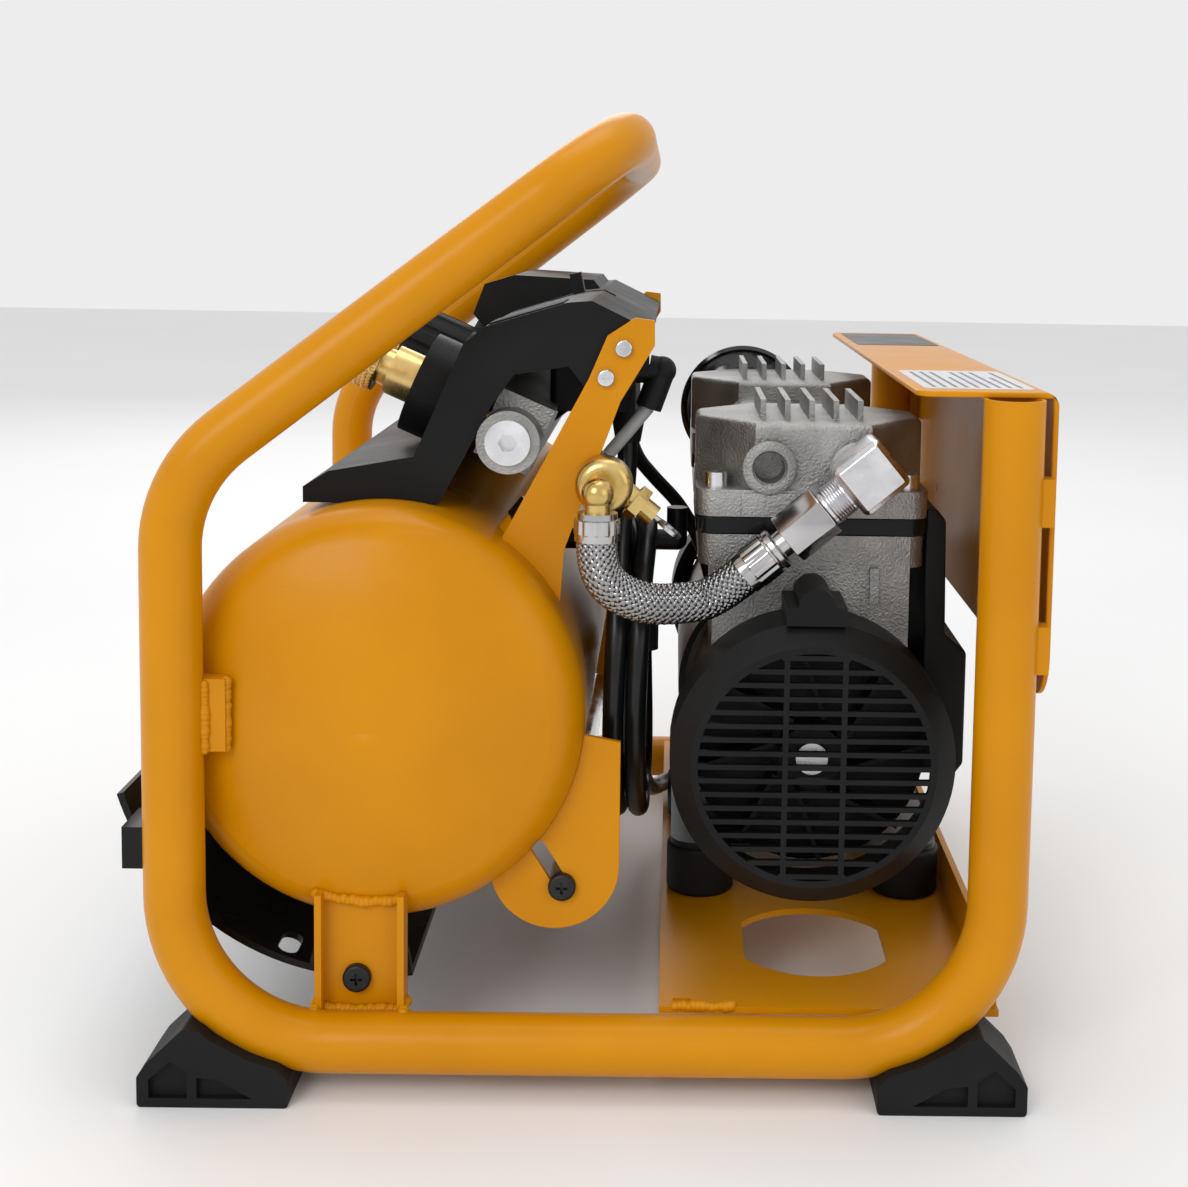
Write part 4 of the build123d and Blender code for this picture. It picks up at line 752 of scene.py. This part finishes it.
def makeDial(name, joint, figures):
    place = dialPlace(joint)
    bm = bmesh.new()
    bmesh.ops.create_cone(bm, cap_ends=True, segments=64, radius1=dial["radius"], radius2=dial["radius"],
                          depth=dial["thick"])
    bmesh.ops.transform(bm, matrix=place, verts=bm.verts)
    addPiece(name + "Face", meshFrom(bm, name + "Face"), "dialWhite")
    bm = bmesh.new()
    printZ = dial["thick"] / 2 + dial["print"] / 2
    for k in range(dial["ticks"]):
        long, wide = dial["long"] if k % 5 == 0 else dial["short"]
        made = block(bm, (long, wide, dial["print"]), (dial["tickReach"] - long / 2, 0, printZ))
        bmesh.ops.rotate(bm, verts=made, matrix=Matrix.Rotation(dialAngle(k, dial["ticks"]), 3, "Z"))
    for k, figure in enumerate(figures):
        font = bpy.data.curves.new("figure", "FONT")
        font.body, font.size = figure, dial["figureSize"]
        font.align_x, font.align_y = "CENTER", "CENTER"
        font.extrude = dial["print"] / 2
        figureMesh = bentMesh("figure", font)
        angle = dialAngle(k, len(figures))
        spot = (dial["figureReach"] * cos(angle), dial["figureReach"] * sin(angle), printZ)
        figureMesh.transform(Matrix.Translation(spot))
        bm.from_mesh(figureMesh)
        bpy.data.meshes.remove(figureMesh)
    bmesh.ops.transform(bm, matrix=place, verts=bm.verts)
    mesh = bpy.data.meshes.new(name + "Print")
    bm.to_mesh(mesh)
    bm.free()
    addPiece(name + "Print", mesh, "dialInk")


makeDial("tankDial", "tank_needle_turn", ["0", "50", "100", "150", "200"])
makeDial("outletDial", "outlet_needle_turn", ["0", "40", "80", "120", "160"])
print("dials printed")

# places are low x, high x, low y, high y
labels = {"thick": 0.00018, "corner": 0.003, "white": (0.313, 0.360, -0.184, -0.094),
          "dark": (0.313, 0.360, 0.082, 0.186), "rows": 9, "margin": 0.005, "bar": (0.0016, 0.00005)}
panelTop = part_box("rear_panel")[1][2]


def labelCorners(box):
    return at(box[0], box[2], 0), at(box[1], box[3], 0)


def makeLabel(name, box, finish):
    low, high = labelCorners(box)
    bm = bmesh.new()
    block(bm, (high.x - low.x, high.y - low.y, labels["thick"]))
    corners = [e for e in bm.edges if abs(e.verts[0].co.z - e.verts[1].co.z) > labels["thick"] / 2]
    softened(bm, corners, labels["corner"], 5)
    spot = ((low.x + high.x) / 2, (low.y + high.y) / 2, panelTop + labels["thick"] / 2)
    bmesh.ops.translate(bm, verts=bm.verts, vec=spot)
    addPiece(name, meshFrom(bm, name), finish)


def makeLabelLines(box):
    # plain grey bars, every fourth one short
    low, high = labelCorners(box)
    margin, wide, thick = labels["margin"], *labels["bar"]
    bm = bmesh.new()
    for k in range(labels["rows"]):
        x = low.x + margin + (high.x - low.x - 2 * margin) * k / (labels["rows"] - 1)
        length = (high.y - low.y - 2 * margin) * (0.62 if k % 4 == 3 else 0.96)
        block(bm, (wide, length, thick), (x, low.y + margin + length / 2, panelTop + labels["thick"]))
    addPiece("labelLines", meshFrom(bm, "labelLines"), "labelInk")


makeLabel("whiteLabel", labels["white"], "labelPaper")
makeLabel("darkLabel", labels["dark"], "labelDark")
makeLabelLines(labels["white"])
print("labels placed")

edges = {
    "console_shell": 0.0022, "cylinder_heads": 0.0011, "crankcases": 0.0012, "side_covers": 0.0010,
    "front_feet": 0.0014, "rear_feet": 0.0014, "rear_panel": 0.0007, "base_plate": 0.0007,
    "tank_brackets": 0.0007, "console_straps": 0.0007, "valve_plates": 0.0007, "head_elbow": 0.0007,
    "front_guard": 0.0007, "pressure_switch": 0.0008, "switch_lever": 0.0006,
}
for node, width in edges.items():
    rounded(node, width)
print("edges rounded on", len(edges), "pieces")

studio = {"floor": 6.0, "world": 0.85, "aim": 0.15, "lights": [
    ("keyLight", (-0.9, -2.0, 1.5), 1.0, 17), ("fillLight", (1.8, -1.5, 0.9), 1.2, 3),
    ("topLight", (0.1, 0.1, 2.2), 1.2, 10), ("backLight", (-0.4, 2.0, 1.4), 1.2, 8),
]}


def makeStudio(s):
    bm = bmesh.new()
    bmesh.ops.create_grid(bm, x_segments=1, y_segments=1, size=s["floor"])
    floorMesh = meshFrom(bm, "floor")
    floorObj = bpy.data.objects.new("floor", floorMesh)
    bpy.context.scene.collection.objects.link(floorObj)
    paint = finishOf("floorWhite", (0.80, 0.80, 0.80), (0.82, 0.82, 0.82), (0.6, 0.7), 40, 0.00001, 2)
    floorMesh.materials.append(paint)
    for name, place, size, watts in s["lights"]:
        data = bpy.data.lights.new(name, "AREA")
        data.shape, data.size, data.energy = "SQUARE", size, watts
        obj = bpy.data.objects.new(name, data)
        obj.location = place
        toObject = Vector((0, 0, s["aim"])) - Vector(place)
        obj.rotation_euler = toObject.to_track_quat("-Z", "Y").to_euler()
        bpy.context.scene.collection.objects.link(obj)
    world = bpy.data.worlds.new("studioWorld")
    world.use_nodes = True
    world.node_tree.nodes["Background"].inputs["Color"].default_value = (1, 1, 1, 1)
    world.node_tree.nodes["Background"].inputs["Strength"].default_value = s["world"]
    bpy.context.scene.world = world


makeStudio(studio)
bpy.context.scene.view_settings.view_transform = "Standard"
print("studio lit")
